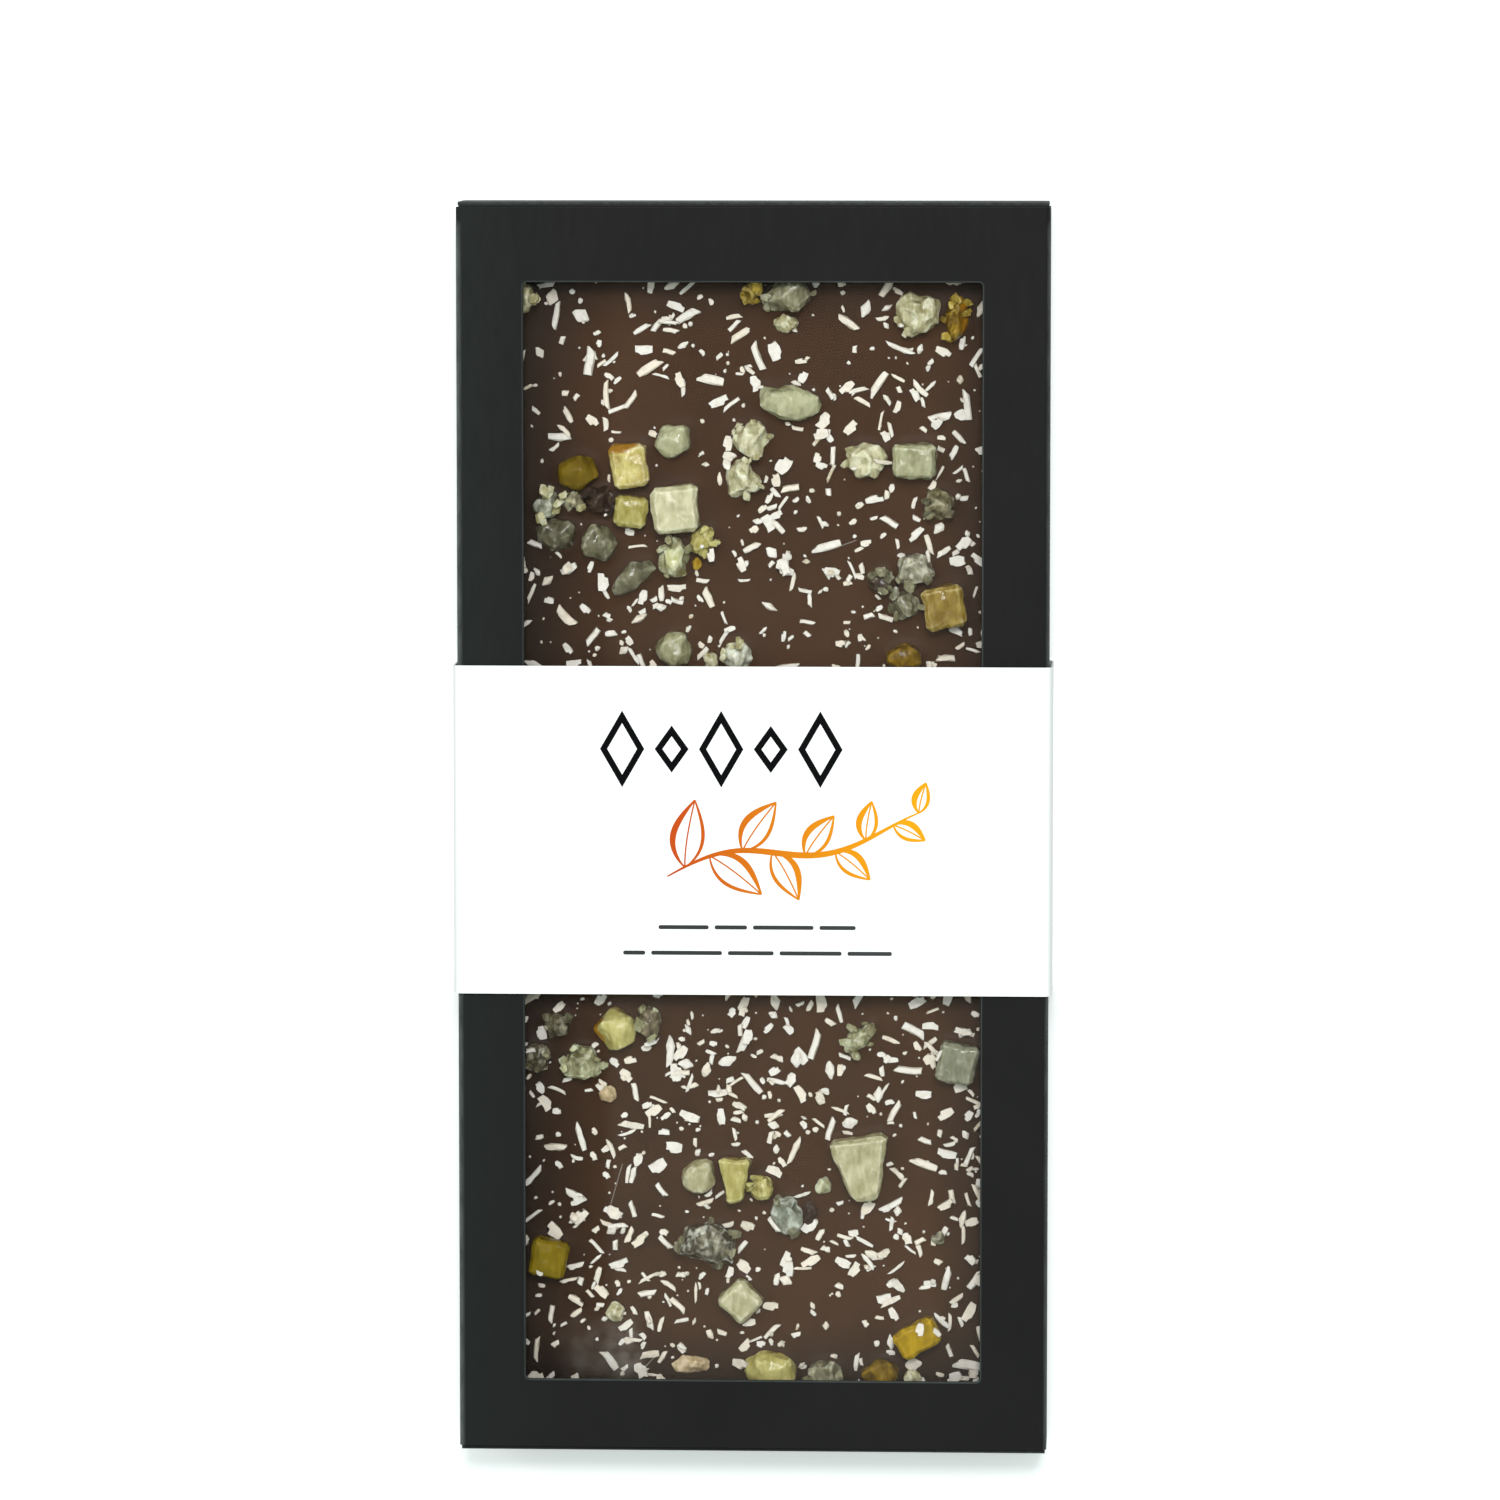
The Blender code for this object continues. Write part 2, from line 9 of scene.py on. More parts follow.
import logging
import math
import random
from collections.abc import Callable, Iterator, Sequence
from contextlib import contextmanager
from dataclasses import dataclass, field
from enum import Enum

import bmesh
import bpy
import numpy as np
from mathutils import Matrix, Vector, noise
from mathutils.kdtree import KDTree


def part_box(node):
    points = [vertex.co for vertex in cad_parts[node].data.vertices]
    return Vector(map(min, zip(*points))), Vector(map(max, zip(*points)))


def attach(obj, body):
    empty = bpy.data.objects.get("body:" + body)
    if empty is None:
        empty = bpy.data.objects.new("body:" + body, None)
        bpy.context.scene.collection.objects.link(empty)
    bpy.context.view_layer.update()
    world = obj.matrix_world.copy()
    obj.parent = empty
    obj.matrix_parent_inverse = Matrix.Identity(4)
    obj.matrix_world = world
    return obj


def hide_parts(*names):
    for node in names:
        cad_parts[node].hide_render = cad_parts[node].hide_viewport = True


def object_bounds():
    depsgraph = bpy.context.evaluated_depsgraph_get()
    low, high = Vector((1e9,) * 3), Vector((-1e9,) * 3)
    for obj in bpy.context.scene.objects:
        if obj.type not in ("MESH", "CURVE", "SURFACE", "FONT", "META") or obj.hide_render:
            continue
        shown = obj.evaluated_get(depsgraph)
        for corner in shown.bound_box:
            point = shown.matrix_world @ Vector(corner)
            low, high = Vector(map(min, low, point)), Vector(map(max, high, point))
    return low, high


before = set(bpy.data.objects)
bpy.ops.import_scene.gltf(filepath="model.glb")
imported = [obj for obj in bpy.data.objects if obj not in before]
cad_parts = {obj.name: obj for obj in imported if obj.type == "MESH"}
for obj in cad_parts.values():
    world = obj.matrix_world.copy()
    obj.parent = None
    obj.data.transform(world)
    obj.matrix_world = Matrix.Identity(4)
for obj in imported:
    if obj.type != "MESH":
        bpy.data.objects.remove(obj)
CAD_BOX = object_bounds()
LOG = logging.getLogger("chocolate_bar")

MM = 0.001
TOUCH = 0.001 * MM
FOLD_ANGLE = 40
ANY_ANGLE = 180
Pair = tuple[float, float]
Colour = tuple[float, float, float, float]
Tone = tuple[int, int, int]
Socket = bpy.types.NodeSocket
Material = bpy.types.Material
Piece = bpy.types.Object
Way = Callable[[np.ndarray], np.ndarray]
Forms = list[tuple[np.ndarray, list[tuple[int, ...]]]]


class PeelKind(Enum):
    """The looks of candied peel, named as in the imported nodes."""

    PALE = "pale"
    GREEN = "green"
    YELLOW = "yellow"
    RIND = "rind"
    AMBER = "amber"
    GREY = "grey"
    COATED = "coated"


class FlakeKind(Enum):
    """The forms of grated coconut."""

    SHRED = "shreds"
    CHIP = "chips"
    CRUMB = "crumbs"


class Axis(Enum):
    """The row frame's axes, by their index."""

    X = 0
    Y = 1
    Z = 2


# The window's rims: across which axis, where the shade is deepest and ends, and the light left there
RIM_SHADES = (
    (Axis.X, -31.0 * MM, -18.0 * MM, 0.30),
    (Axis.X, 31.0 * MM, 24.0 * MM, 0.50),
    (Axis.Y, 74.4 * MM, 67.0 * MM, 0.52),
    (Axis.Y, -75.2 * MM, -68.0 * MM, 0.36),
)


def display(red: float, green: float, blue: float) -> Colour:
    """Turn a colour as shown on screen, 0 to 255, into scene light.

    Args:
        red: The red channel.
        green: The green channel.
        blue: The blue channel.

    Returns:
        The linear colour with full alpha.
    """
    shares = [channel / 255 for channel in (red, green, blue)]
    linear = [s / 12.92 if s <= 0.04045 else ((s + 0.055) / 1.055) ** 2.4 for s in shares]
    return (*linear, 1.0)


class Recipe:
    """One material's node tree, built step by step on Object coordinates."""

    def __init__(self, name: str) -> None:
        """Start the material with its Principled shader.

        Args:
            name: The material's name.
        """
        self.material = bpy.data.materials.new(name)
        self.material.use_nodes = True
        self.nodes = self.material.node_tree.nodes
        self.links = self.material.node_tree.links
        self.shader = self.nodes["Principled BSDF"]
        self.output = self.nodes["Material Output"]
        self.place = self.add("ShaderNodeTexCoord").outputs["Object"]

    def add(self, kind: str, **settings: object) -> bpy.types.Node:
        """Add a node and set its plain properties.

        Args:
            kind: The node's type.
            settings: Its properties.

        Returns:
            The node.
        """
        node = self.nodes.new(kind)
        for name, value in settings.items():
            setattr(node, name, value)
        return node

    def feed(self, target: Socket, source: Socket | float | Sequence[float]) -> None:
        """Link a socket to its source, or set it to a plain value.

        Args:
            target: The socket that is fed.
            source: Another socket, or a plain value.
        """
        if isinstance(source, bpy.types.NodeSocket):
            self.links.new(source, target)
        else:
            target.default_value = source

    def set(self, **values: object) -> None:
        """Feed the shader's sockets, named with underscores for spaces."""
        for name, value in values.items():
            self.feed(self.shader.inputs[name.replace("_", " ")], value)

    def mapped(self, scale: Sequence[float], turn: float = 0.0) -> Socket:
        """Stretch and turn the place, for grain that runs one way.

        Args:
            scale: The scale along X, Y and Z.
            turn: The turn about Z, in radians.

        Returns:
            The mapped place.
        """
        node = self.add("ShaderNodeMapping")
        self.feed(node.inputs["Vector"], self.place)
        node.inputs["Rotation"].default_value = (0, 0, turn)
        node.inputs["Scale"].default_value = scale
        return node.outputs["Vector"]

    def noise(self, size: float, detail: float = 3.0, place: Socket | None = None) -> Socket:
        """Soft random patches.

        Args:
            size: The rough size of a patch, in metres.
            detail: How many finer layers are added.
            place: The place to read, or None for Object coordinates.

        Returns:
            A value round one half.
        """
        node = self.add("ShaderNodeTexNoise")
        self.feed(node.inputs["Vector"], place or self.place)
        node.inputs["Scale"].default_value = 1 / size
        node.inputs["Detail"].default_value = detail
        return node.outputs["Fac"]

    def spread(
        self, source: Socket, low: float, high: float, first: float = 0.0, last: float = 1.0
    ) -> Socket:
        """Stretch a range of values onto another, and hold it at both ends.

        Args:
            source: The value to stretch.
            low: The value that becomes first.
            high: The value that becomes last.
            first: The result at low.
            last: The result at high.

        Returns:
            The stretched value.
        """
        node = self.add("ShaderNodeMapRange")
        self.feed(node.inputs["Value"], source)
        for name, value in (("From Min", low), ("From Max", high), ("To Min", first), ("To Max", last)):
            node.inputs[name].default_value = value
        return node.outputs["Result"]

    def maths(self, operation: str, first: Socket | float, second: Socket | float = 0.0) -> Socket:
        """One step of arithmetic on two values.

        Args:
            operation: What is done, such as ADD.
            first: The first value.
            second: The second value.

        Returns:
            The result.
        """
        node = self.add("ShaderNodeMath", operation=operation)
        self.feed(node.inputs[0], first)
        self.feed(node.inputs[1], second)
        return node.outputs[0]

    def blend(self, factor: Socket | float, first: Socket | Colour, second: Socket | Colour) -> Socket:
        """Mix two colours.

        Args:
            factor: The share of the second colour.
            first: The colour at 0.
            second: The colour at 1.

        Returns:
            The mixed colour.
        """
        node = self.add("ShaderNodeMix", data_type="RGBA")
        self.feed(node.inputs["Factor"], factor)
        colours = [socket for socket in node.inputs if socket.type == "RGBA"]
        self.feed(colours[0], first)
        self.feed(colours[1], second)
        return next(socket for socket in node.outputs if socket.type == "RGBA")

    def attribute(self, name: str) -> Socket:
        """A value that the mesh holds at each corner."""
        return self.add("ShaderNodeAttribute", attribute_name=name).outputs["Fac"]

    def facing_up(self) -> Socket:
        """How far the surface faces up.

        Returns:
            1 on top and 0 on an upright side.
        """
        parts = self.add("ShaderNodeSeparateXYZ")
        self.feed(parts.inputs[0], self.add("ShaderNodeNewGeometry").outputs["Normal"])
        return parts.outputs["Z"]

    def along(self, axis: Axis, place: Socket | None = None) -> Socket:
        """The coordinate along one axis.

        Args:
            axis: The axis.
            place: The place to read, or None for Object coordinates.

        Returns:
            The coordinate, in metres.
        """
        parts = self.add("ShaderNodeSeparateXYZ")
        self.feed(parts.inputs[0], place or self.place)
        return parts.outputs[axis.value]

    def patch(self, middle: Pair, turn: float, half: Pair, soft: float) -> Socket:
        """A soft-edged rectangle seen from above.

        Args:
            middle: Its middle, X and Y.
            turn: Its turn about Z, in radians.
            half: Half its length and half its width.
            soft: How wide its soft edge is.

        Returns:
            1 inside and 0 outside.
        """
        shift = self.add("ShaderNodeVectorMath", operation="SUBTRACT")
        self.feed(shift.inputs[0], self.place)
        shift.inputs[1].default_value = (*middle, 0.0)
        turned = self.add("ShaderNodeVectorRotate", rotation_type="Z_AXIS")
        self.feed(turned.inputs["Vector"], shift.outputs[0])
        turned.inputs["Angle"].default_value = -turn
        masks = []
        for axis, reach in zip((Axis.X, Axis.Y), half):
            distance = self.maths("ABSOLUTE", self.along(axis, turned.outputs[0]))
            masks.append(self.spread(distance, reach - soft, reach, 1.0, 0.0))
        return self.maths("MULTIPLY", *masks)

    def below_the_frame(self, colour: Socket, depth: float) -> Socket:
        """Darken a colour towards the window's rims, where the frame keeps the light off.

        Args:
            colour: The colour away from the rims.
            depth: How much of the full shade it takes, up to 1.

        Returns:
            The shaded colour.
        """
        shade: Socket | float = 1.0
        for axis, rim, clear, least in RIM_SHADES:
            least = 1 - depth * (1 - least)
            shade = self.maths("MULTIPLY", shade, self.spread(self.along(axis), rim, clear, least, 1.0))
        return self.blend(shade, (0.0, 0.0, 0.0, 1.0), colour)

    def bump(self, height: Socket, depth: float) -> None:
        """Give the shader a fine relief.

        Args:
            height: The relief's pattern.
            depth: Its depth, in metres.
        """
        node = self.add("ShaderNodeBump")
        self.feed(node.inputs["Height"], height)
        node.inputs["Distance"].default_value = depth
        self.set(Normal=node.outputs["Normal"])


@dataclass(frozen=True)
class BoardFinish:
    """Matte black folding board, with a fine fibre, folds lighter from wear and painted highlight, and a
    painted greenish light towards the left.
    """

    name: str
    colour: Colour
    fleck: Colour
    # The folds' lighter colour: partly real wear of the black print and partly painted highlight
    worn: Colour = display(86, 90, 88)
    roughness: float = 0.62
    sheen_level: float = 0.14
    fold_run: Pair = (39.3 * MM, 39.95 * MM)
    fold_shift: float = 0.15 * MM
    fold_stop: Pair = (81.6 * MM, 82.6 * MM)
    end_fold_run: Pair = (84.45 * MM, 84.95 * MM)
    # The fold lightening's share at the top end, and across the lower end: wear and painted highlight
    top_fold_wear_and_highlight: float = 0.50
    low_fold_run: Pair = (0.0, 38 * MM)
    low_fold_wear_and_highlight: Pair = (0.15, 0.60)
    # Painted light: a faint greenish tint that grows towards the board's left edge
    left_run: Pair = (-38 * MM, -26 * MM)
    left_light_share: float = 0.7
    painted_left_light: Colour = display(25, 29, 28)

    def material(self) -> Material:
        """Build the material.

        Returns:
            The new material.
        """
        recipe = Recipe(self.name)
        fibre = recipe.noise(0.9 * MM, 5.0, recipe.mapped((1.0, 0.22, 1.0)))
        cloud = recipe.noise(14 * MM, 2.0)
        fine = recipe.spread(fibre, 0.3, 0.75, 0.0, 0.6)
        tone = recipe.maths("ADD", fine, recipe.spread(cloud, 0.3, 0.7, 0.0, 0.4))
        across, along = recipe.along(Axis.X), recipe.along(Axis.Y)
        off_middle = recipe.maths("ADD", across, -self.fold_shift)
        on_fold = recipe.spread(recipe.maths("ABSOLUTE", off_middle), *self.fold_run)
        on_fold = recipe.maths("MULTIPLY", on_fold, recipe.spread(along, *self.fold_stop, 1.0, 0.0))
        on_top = recipe.spread(along, *self.end_fold_run, 0.0, self.top_fold_wear_and_highlight)
        on_low = recipe.spread(recipe.maths("MULTIPLY", along, -1.0), *self.end_fold_run)
        low_wear = recipe.spread(across, *self.low_fold_run, *self.low_fold_wear_and_highlight)
        on_low = recipe.maths("MULTIPLY", on_low, low_wear)
        on_end = recipe.maths("MAXIMUM", on_top, on_low)
        # Wear and painted highlight on the folds and ends, only where they face up
        off_side = recipe.spread(recipe.facing_up(), 0.1, 0.5)
        rubbed = recipe.spread(fibre, 0.3, 0.65, 0.35, 1.0)
        worn = recipe.maths("MULTIPLY", recipe.maths("MAXIMUM", on_fold, on_end), off_side)
        wear_and_highlight = recipe.maths("MULTIPLY", worn, rubbed)
        board = recipe.blend(tone, self.colour, self.fleck)
        # Painted light: the board turns greenish towards its left edge
        left = recipe.spread(across, *self.left_run, self.left_light_share, 0.0)
        board = recipe.blend(left, board, self.painted_left_light)
        recipe.set(
            Base_Color=recipe.blend(wear_and_highlight, board, self.worn),
            Roughness=recipe.spread(fibre, 0.3, 0.7, self.roughness - 0.06, self.roughness + 0.08),
            Specular_IOR_Level=self.sheen_level,
        )
        recipe.bump(recipe.noise(0.35 * MM, 4.0), 0.012 * MM)
        return recipe.material


@dataclass(frozen=True)
class FilmFinish:
    """Clear film that shows only its faint shine, a painted sheen to the right that grows lower down, hair
    scratches and lighter streaky patches at the lower left.
    """

    name: str = "clear film"
    shine: float = 0.004
    # Painted sheen: a lighter veil on the film right of sheen_line, stronger lower down
    painted_sheen: float = 0.009
    sheen_line: Pair = (-20.5 * MM, -18.5 * MM)
    sheen_drop: tuple[float, float, float, float] = (75 * MM, -75 * MM, 0.10, 1.40)
    scratch_half: float = 0.10 * MM
    scratch_edge: float = 0.07 * MM
    scratch_light: float = 0.13
    patch_turn: float = 0.12
    scratches: tuple[tuple[Pair, float, float], ...] = (
        ((-18.6 * MM, -48.5 * MM), 1.29, 3.1 * MM),
        ((-13.9 * MM, -72.6 * MM), 0.80, 1.2 * MM),
        ((12.5 * MM, 39.0 * MM), 0.35, 1.6 * MM),
    )
    # Lighter streaky patches on the film at the lower left: middle, half size, least and most share
    lighter_patches: tuple[tuple[Pair, Pair, float, float], ...] = (
        ((-20.6 * MM, -70.6 * MM), (6.4 * MM, 5.6 * MM), 0.008, 0.028),
        ((-17.2 * MM, -71.2 * MM), (2.8 * MM, 3.9 * MM), 0.002, 0.040),
    )

    def material(self) -> Material:
        """Build the material.

        Returns:
            The new material.
        """
        recipe = Recipe(self.name)
        recipe.set(Base_Color=display(214, 204, 194), Roughness=0.14, Specular_IOR_Level=0.5)
        share = recipe.spread(recipe.noise(9 * MM, 2.0), 0.35, 0.8, self.shine, self.shine * 1.6)
        # Painted sheen to the right, growing towards the lower end
        painted_sheen = recipe.spread(recipe.along(Axis.X), *self.sheen_line, 0.0, self.painted_sheen)
        lower_down = recipe.spread(recipe.along(Axis.Y), *self.sheen_drop)
        share = recipe.maths("ADD", share, recipe.maths("MULTIPLY", painted_sheen, lower_down))
        for middle, turn, half in self.scratches:
            line = recipe.patch(middle, turn, (half, self.scratch_half), self.scratch_edge)
            share = recipe.maths("ADD", share, recipe.maths("MULTIPLY", line, self.scratch_light))
        cloud = recipe.noise(2.0 * MM, 3.0)
        for middle, half, least, most in self.lighter_patches:
            lighter_patch = recipe.patch(middle, self.patch_turn, half, 0.5 * half[0])
            streaks = recipe.spread(cloud, 0.36, 0.66, least, most)
            share = recipe.maths("ADD", share, recipe.maths("MULTIPLY", lighter_patch, streaks))
        clear = recipe.add("ShaderNodeBsdfTransparent")
        mixed = recipe.add("ShaderNodeMixShader")
        recipe.feed(mixed.inputs[0], share)
        recipe.feed(mixed.inputs[1], clear.outputs[0])
        recipe.feed(mixed.inputs[2], recipe.shader.outputs[0])
        recipe.feed(recipe.output.inputs["Surface"], mixed.outputs[0])
        return recipe.material


@dataclass(frozen=True)
class PaperFinish:
    """Smooth white paper with a faint tooth, and painted shade along its side folds."""

    name: str = "band paper"
    colour: Colour = display(250, 250, 249)
    shade: Colour = display(243, 243, 241)
    # Painted shade: the grey of the band's side folds
    painted_fold_shade: Colour = display(206, 206, 206)
    fold_shade_run: Pair = (39.8 * MM, 40.35 * MM)

    def material(self) -> Material:
        """Build the material.

        Returns:
            The new material.
        """
        recipe = Recipe(self.name)
        tooth = recipe.noise(0.5 * MM, 5.0)
        cloud = recipe.noise(20 * MM, 2.0)
        tone = recipe.maths("MULTIPLY", recipe.spread(tooth, 0.35, 0.75), recipe.spread(cloud, 0.3, 0.8))
        outward = recipe.maths("ABSOLUTE", recipe.along(Axis.X))
        # Painted shade along the side folds
        fold_shaded = recipe.spread(outward, *self.fold_shade_run, 0.0, 0.9)
        recipe.set(
            Base_Color=recipe.blend(fold_shaded, recipe.blend(tone, self.colour, self.shade), self.painted_fold_shade),
            Roughness=recipe.spread(tooth, 0.3, 0.7, 0.66, 0.80),
            Specular_IOR_Level=0.25,
        )
        recipe.bump(tooth, 0.006 * MM)
        return recipe.material


@dataclass(frozen=True)
class InkFinish:
    """Printed ink: one colour, or two that run into each other from left to right."""

    name: str
    left: Colour
    right: Colour
    run: Pair = (-0.01, 0.02)
    specular: float = 0.12

    def material(self) -> Material:
        """Build the material.

        Returns:
            The new material.
        """
        recipe = Recipe(self.name)
        share = recipe.spread(recipe.along(Axis.X), *self.run)
        grain = recipe.noise(0.25 * MM, 3.0)
        mottled = recipe.maths("ADD", share, recipe.spread(grain, 0.3, 0.7, -0.05, 0.05))
        recipe.set(
            Base_Color=recipe.blend(mottled, self.left, self.right),
            Roughness=recipe.spread(grain, 0.3, 0.7, 0.5, 0.62),
            Specular_IOR_Level=self.specular,
        )
        return recipe.material


@dataclass(frozen=True)
class ChocolateFinish:
    """Satin dark chocolate, a little cloudy, with a fine grain."""

    name: str = "dark chocolate"
    deep: Colour = display(52, 30, 13)
    light: Colour = display(71, 44, 23)

    def material(self) -> Material:
        """Build the material.

        Returns:
            The new material.
        """
        recipe = Recipe(self.name)
        cloud = recipe.noise(22 * MM, 3.0)
        grain = recipe.noise(0.8 * MM, 5.0)
        swirl = recipe.noise(5 * MM, 4.0, recipe.mapped((1.0, 0.55, 1.0), 0.6))
        broad = recipe.spread(cloud, 0.3, 0.7, 0.0, 0.55)
        tone = recipe.maths("ADD", broad, recipe.spread(grain, 0.3, 0.7, 0.0, 0.25))
        tone = recipe.maths("ADD", tone, recipe.spread(swirl, 0.35, 0.7, 0.0, 0.2))
        recipe.set(
            # Painted shade towards the window's rims, at full depth
            Base_Color=recipe.below_the_frame(recipe.blend(tone, self.deep, self.light), 1.0),
            Roughness=recipe.spread(swirl, 0.3, 0.7, 0.42, 0.56),
            Specular_IOR_Level=0.10,
        )
        recipe.bump(grain, 0.015 * MM)
        return recipe.material


@dataclass(frozen=True)
class CoconutFinish:
    """Dried coconut: warm to cool white, with painted shade on its steep sides, broken by random blotches,
    and towards the window's rims, fibrous and a little translucent.
    """

    name: str = "dried coconut"
    warm: Colour = display(233, 219, 202)
    cool: Colour = display(232, 225, 217)
    # The colour of the flakes' steep sides as painted shade, and of random blotches on their tops
    rim: Colour = display(186, 172, 148)
    husk: Colour = display(190, 172, 138)

    def material(self) -> Material:
        """Build the material.

        Returns:
            The new material.
        """
        recipe = Recipe(self.name)
        tone = recipe.attribute("tone")
        fibre = recipe.noise(0.30 * MM, 4.0)
        blotches = recipe.noise(0.7 * MM, 2.0)
        white = recipe.blend(recipe.spread(tone, 0.0, 0.6), self.warm, self.cool)
        # Painted shade on the steep sides, broken by random blotches
        level = recipe.maths("ADD", recipe.facing_up(), recipe.spread(blotches, 0.35, 0.62, -0.24, 0.06))
        white = recipe.blend(recipe.spread(level, 0.45, 0.95, 0.6, 0.0), white, self.rim)
        browned = recipe.maths("MULTIPLY", recipe.spread(tone, 0.965, 0.99), recipe.spread(fibre, 0.3, 0.6))
        recipe.set(
            # Painted shade towards the window's rims, at 0.35 of its full depth
            Base_Color=recipe.below_the_frame(recipe.blend(browned, white, self.husk), 0.35),
            Roughness=recipe.spread(fibre, 0.3, 0.7, 0.50, 0.66),
            Subsurface_Weight=0.25,
            Subsurface_Radius=(1.0, 0.9, 0.7),
            Subsurface_Scale=0.4 * MM,
            Specular_IOR_Level=0.35,
        )
        recipe.bump(fibre, 0.05 * MM)
        return recipe.material


@dataclass(frozen=True)
class PeelFinish:
    """Candied peel: moist flesh between two shades, some with skin, with darker steep sides (partly
    chocolate seen through, partly painted shade), painted shade in its hollows and painted highlight mixed
    with sugar on its ridges.
    """

    low: Tone
    high: Tone
    # The ridges' colour, partly sugar and partly painted highlight; also the colour of the light veins
    ridge: Tone
    # The steep sides' and hollows' colour: painted shade, on the sides also chocolate seen through; also the
    # colour of the dark veins
    side: Tone
    skin: Tone = (146, 100, 2)
    heart: Tone = (206, 204, 122)
    roughness: float = 0.22
    translucency: float = 0.4
    contrast: float = 0.22
    specular: float = 0.30
    vein: float = 0.55

    def material(self, name: str) -> Material:
        """Build the material.

        Args:
            name: Its name.

        Returns:
            The new material.
        """
        recipe = Recipe(name)
        patches = recipe.noise(2.3 * MM, 3.0)
        wisps = recipe.noise(0.8 * MM, 5.0, recipe.mapped((1.0, 0.4, 1.0), 0.5))
        flesh = self.flesh(recipe, patches, wisps)
        skin = recipe.maths("ADD", recipe.attribute("skin"), recipe.spread(patches, 0.3, 0.7, -0.25, 0.25))
        recipe.set(
            Base_Color=recipe.blend(recipe.spread(skin, 0.42, 0.66), flesh, display(*self.skin)),
            Roughness=recipe.spread(wisps, 0.3, 0.7, self.roughness - 0.10, self.roughness + 0.14),
            Subsurface_Weight=self.translucency,
            Subsurface_Radius=(1.0, 0.8, 0.4),
            Subsurface_Scale=0.9 * MM,
            Specular_IOR_Level=self.specular,
        )
        recipe.bump(wisps, 0.08 * MM)
        return recipe.material

    def flesh(self, recipe: Recipe, patches: Socket, wisps: Socket) -> Socket:
        """Colour the flesh.

        Args:
            recipe: The material's recipe.
            patches: The large soft patches.
            wisps: The fine fibres.

        Returns:
            The flesh's colour.
        """
        low, high, ridge, side = (display(*tone) for tone in (self.low, self.high, self.ridge, self.side))
        halves = [recipe.maths("MULTIPLY", pattern, 0.5) for pattern in (patches, wisps)]
        mixed = recipe.maths("ADD", *halves)
        mixed = recipe.maths("ADD", mixed, recipe.spread(recipe.attribute("tone"), 0.0, 1.0, -0.16, 0.16))
        share = recipe.spread(mixed, 0.5 - self.contrast, 0.5 + self.contrast)
        flesh = recipe.blend(share, low, high)
        heart = recipe.spread(recipe.attribute("heart"), 0.3, 0.8, 0.0, 0.45)
        flesh = recipe.blend(heart, flesh, display(*self.heart))
        # Darker steep sides: partly chocolate seen through the thin edges and partly painted shade
        sides = recipe.maths("ADD", recipe.facing_up(), recipe.spread(wisps, 0.3, 0.7, -0.15, 0.15))
        flesh = recipe.blend(recipe.spread(sides, 0.1, 0.85, 0.7, 0.0), flesh, side)
        ridges = recipe.attribute("ridge")
        # Painted highlight, mixed with sugar, on the ridges
        flesh = recipe.blend(recipe.spread(ridges, 0.58, 0.95, 0.0, 0.55), flesh, ridge)
        # Painted shade in the hollows
        flesh = recipe.blend(recipe.spread(ridges, 0.05, 0.40, 0.35, 0.0), flesh, side)
        ragged = recipe.attribute("ragged")
        fibres = recipe.noise(1.1 * MM, 3.0, recipe.mapped((1.0, 0.65, 1.0), 0.9))
        veins = recipe.maths("MULTIPLY", ragged, recipe.spread(fibres, 0.54, 0.66, 0.0, self.vein))
        hollows = recipe.maths("MULTIPLY", ragged, recipe.spread(fibres, 0.44, 0.34, 0.0, self.vein))
        return recipe.blend(hollows, recipe.blend(veins, flesh, ridge), side)


@dataclass(frozen=True)
class FloorFinish:
    """A plain pale floor with a barely seen mottle, which glows a little though it is no lamp."""

    name: str = "pale floor"
    colour: Colour = display(249, 250, 250)
    shade: Colour = display(247, 249, 249)
    # Painted light: the floor's own glow, which lifts the shadows round the pack
    glow: float = 0.26

    def material(self) -> Material:
        """Build the material.

        Returns:
            The new material.
        """
        recipe = Recipe(self.name)
        recipe.set(
            Base_Color=recipe.blend(recipe.spread(recipe.noise(0.2), 0.3, 0.7), self.colour, self.shade),
            Roughness=0.9,
            Specular_IOR_Level=0.1,
            Emission_Color=self.colour,
            Emission_Strength=self.glow,
        )
        return recipe.material


# The looks of the peel by kind, and of the pieces that differ from their kind, named without peel_
PEEL_FINISHES = {
    PeelKind.PALE: PeelFinish((142, 134, 90), (206, 200, 166), (236, 232, 210), (118, 106, 58)),
    PeelKind.GREEN: PeelFinish((100, 92, 52), (180, 178, 142), (216, 217, 190), (74, 66, 32)),
    PeelKind.YELLOW: PeelFinish((142, 128, 48), (194, 184, 118), (222, 217, 164), (112, 94, 24)),
    PeelKind.RIND: PeelFinish(
        (142, 116, 36), (208, 194, 124), (246, 240, 206), (134, 94, 14), contrast=0.14
    ),
    PeelKind.AMBER: PeelFinish(
        (84, 58, 0), (170, 134, 12), (190, 158, 60), (66, 42, 0), translucency=0.5, specular=0.16
    ),
    PeelKind.GREY: PeelFinish(
        (50, 43, 26), (142, 137, 106), (198, 195, 171), (50, 40, 26),
        roughness=0.16, contrast=0.28, vein=0.32
    ),
    PeelKind.COATED: PeelFinish(
        (36, 23, 16), (60, 43, 31), (84, 66, 52), (30, 18, 12), translucency=0.0, specular=0.12
    ),
}
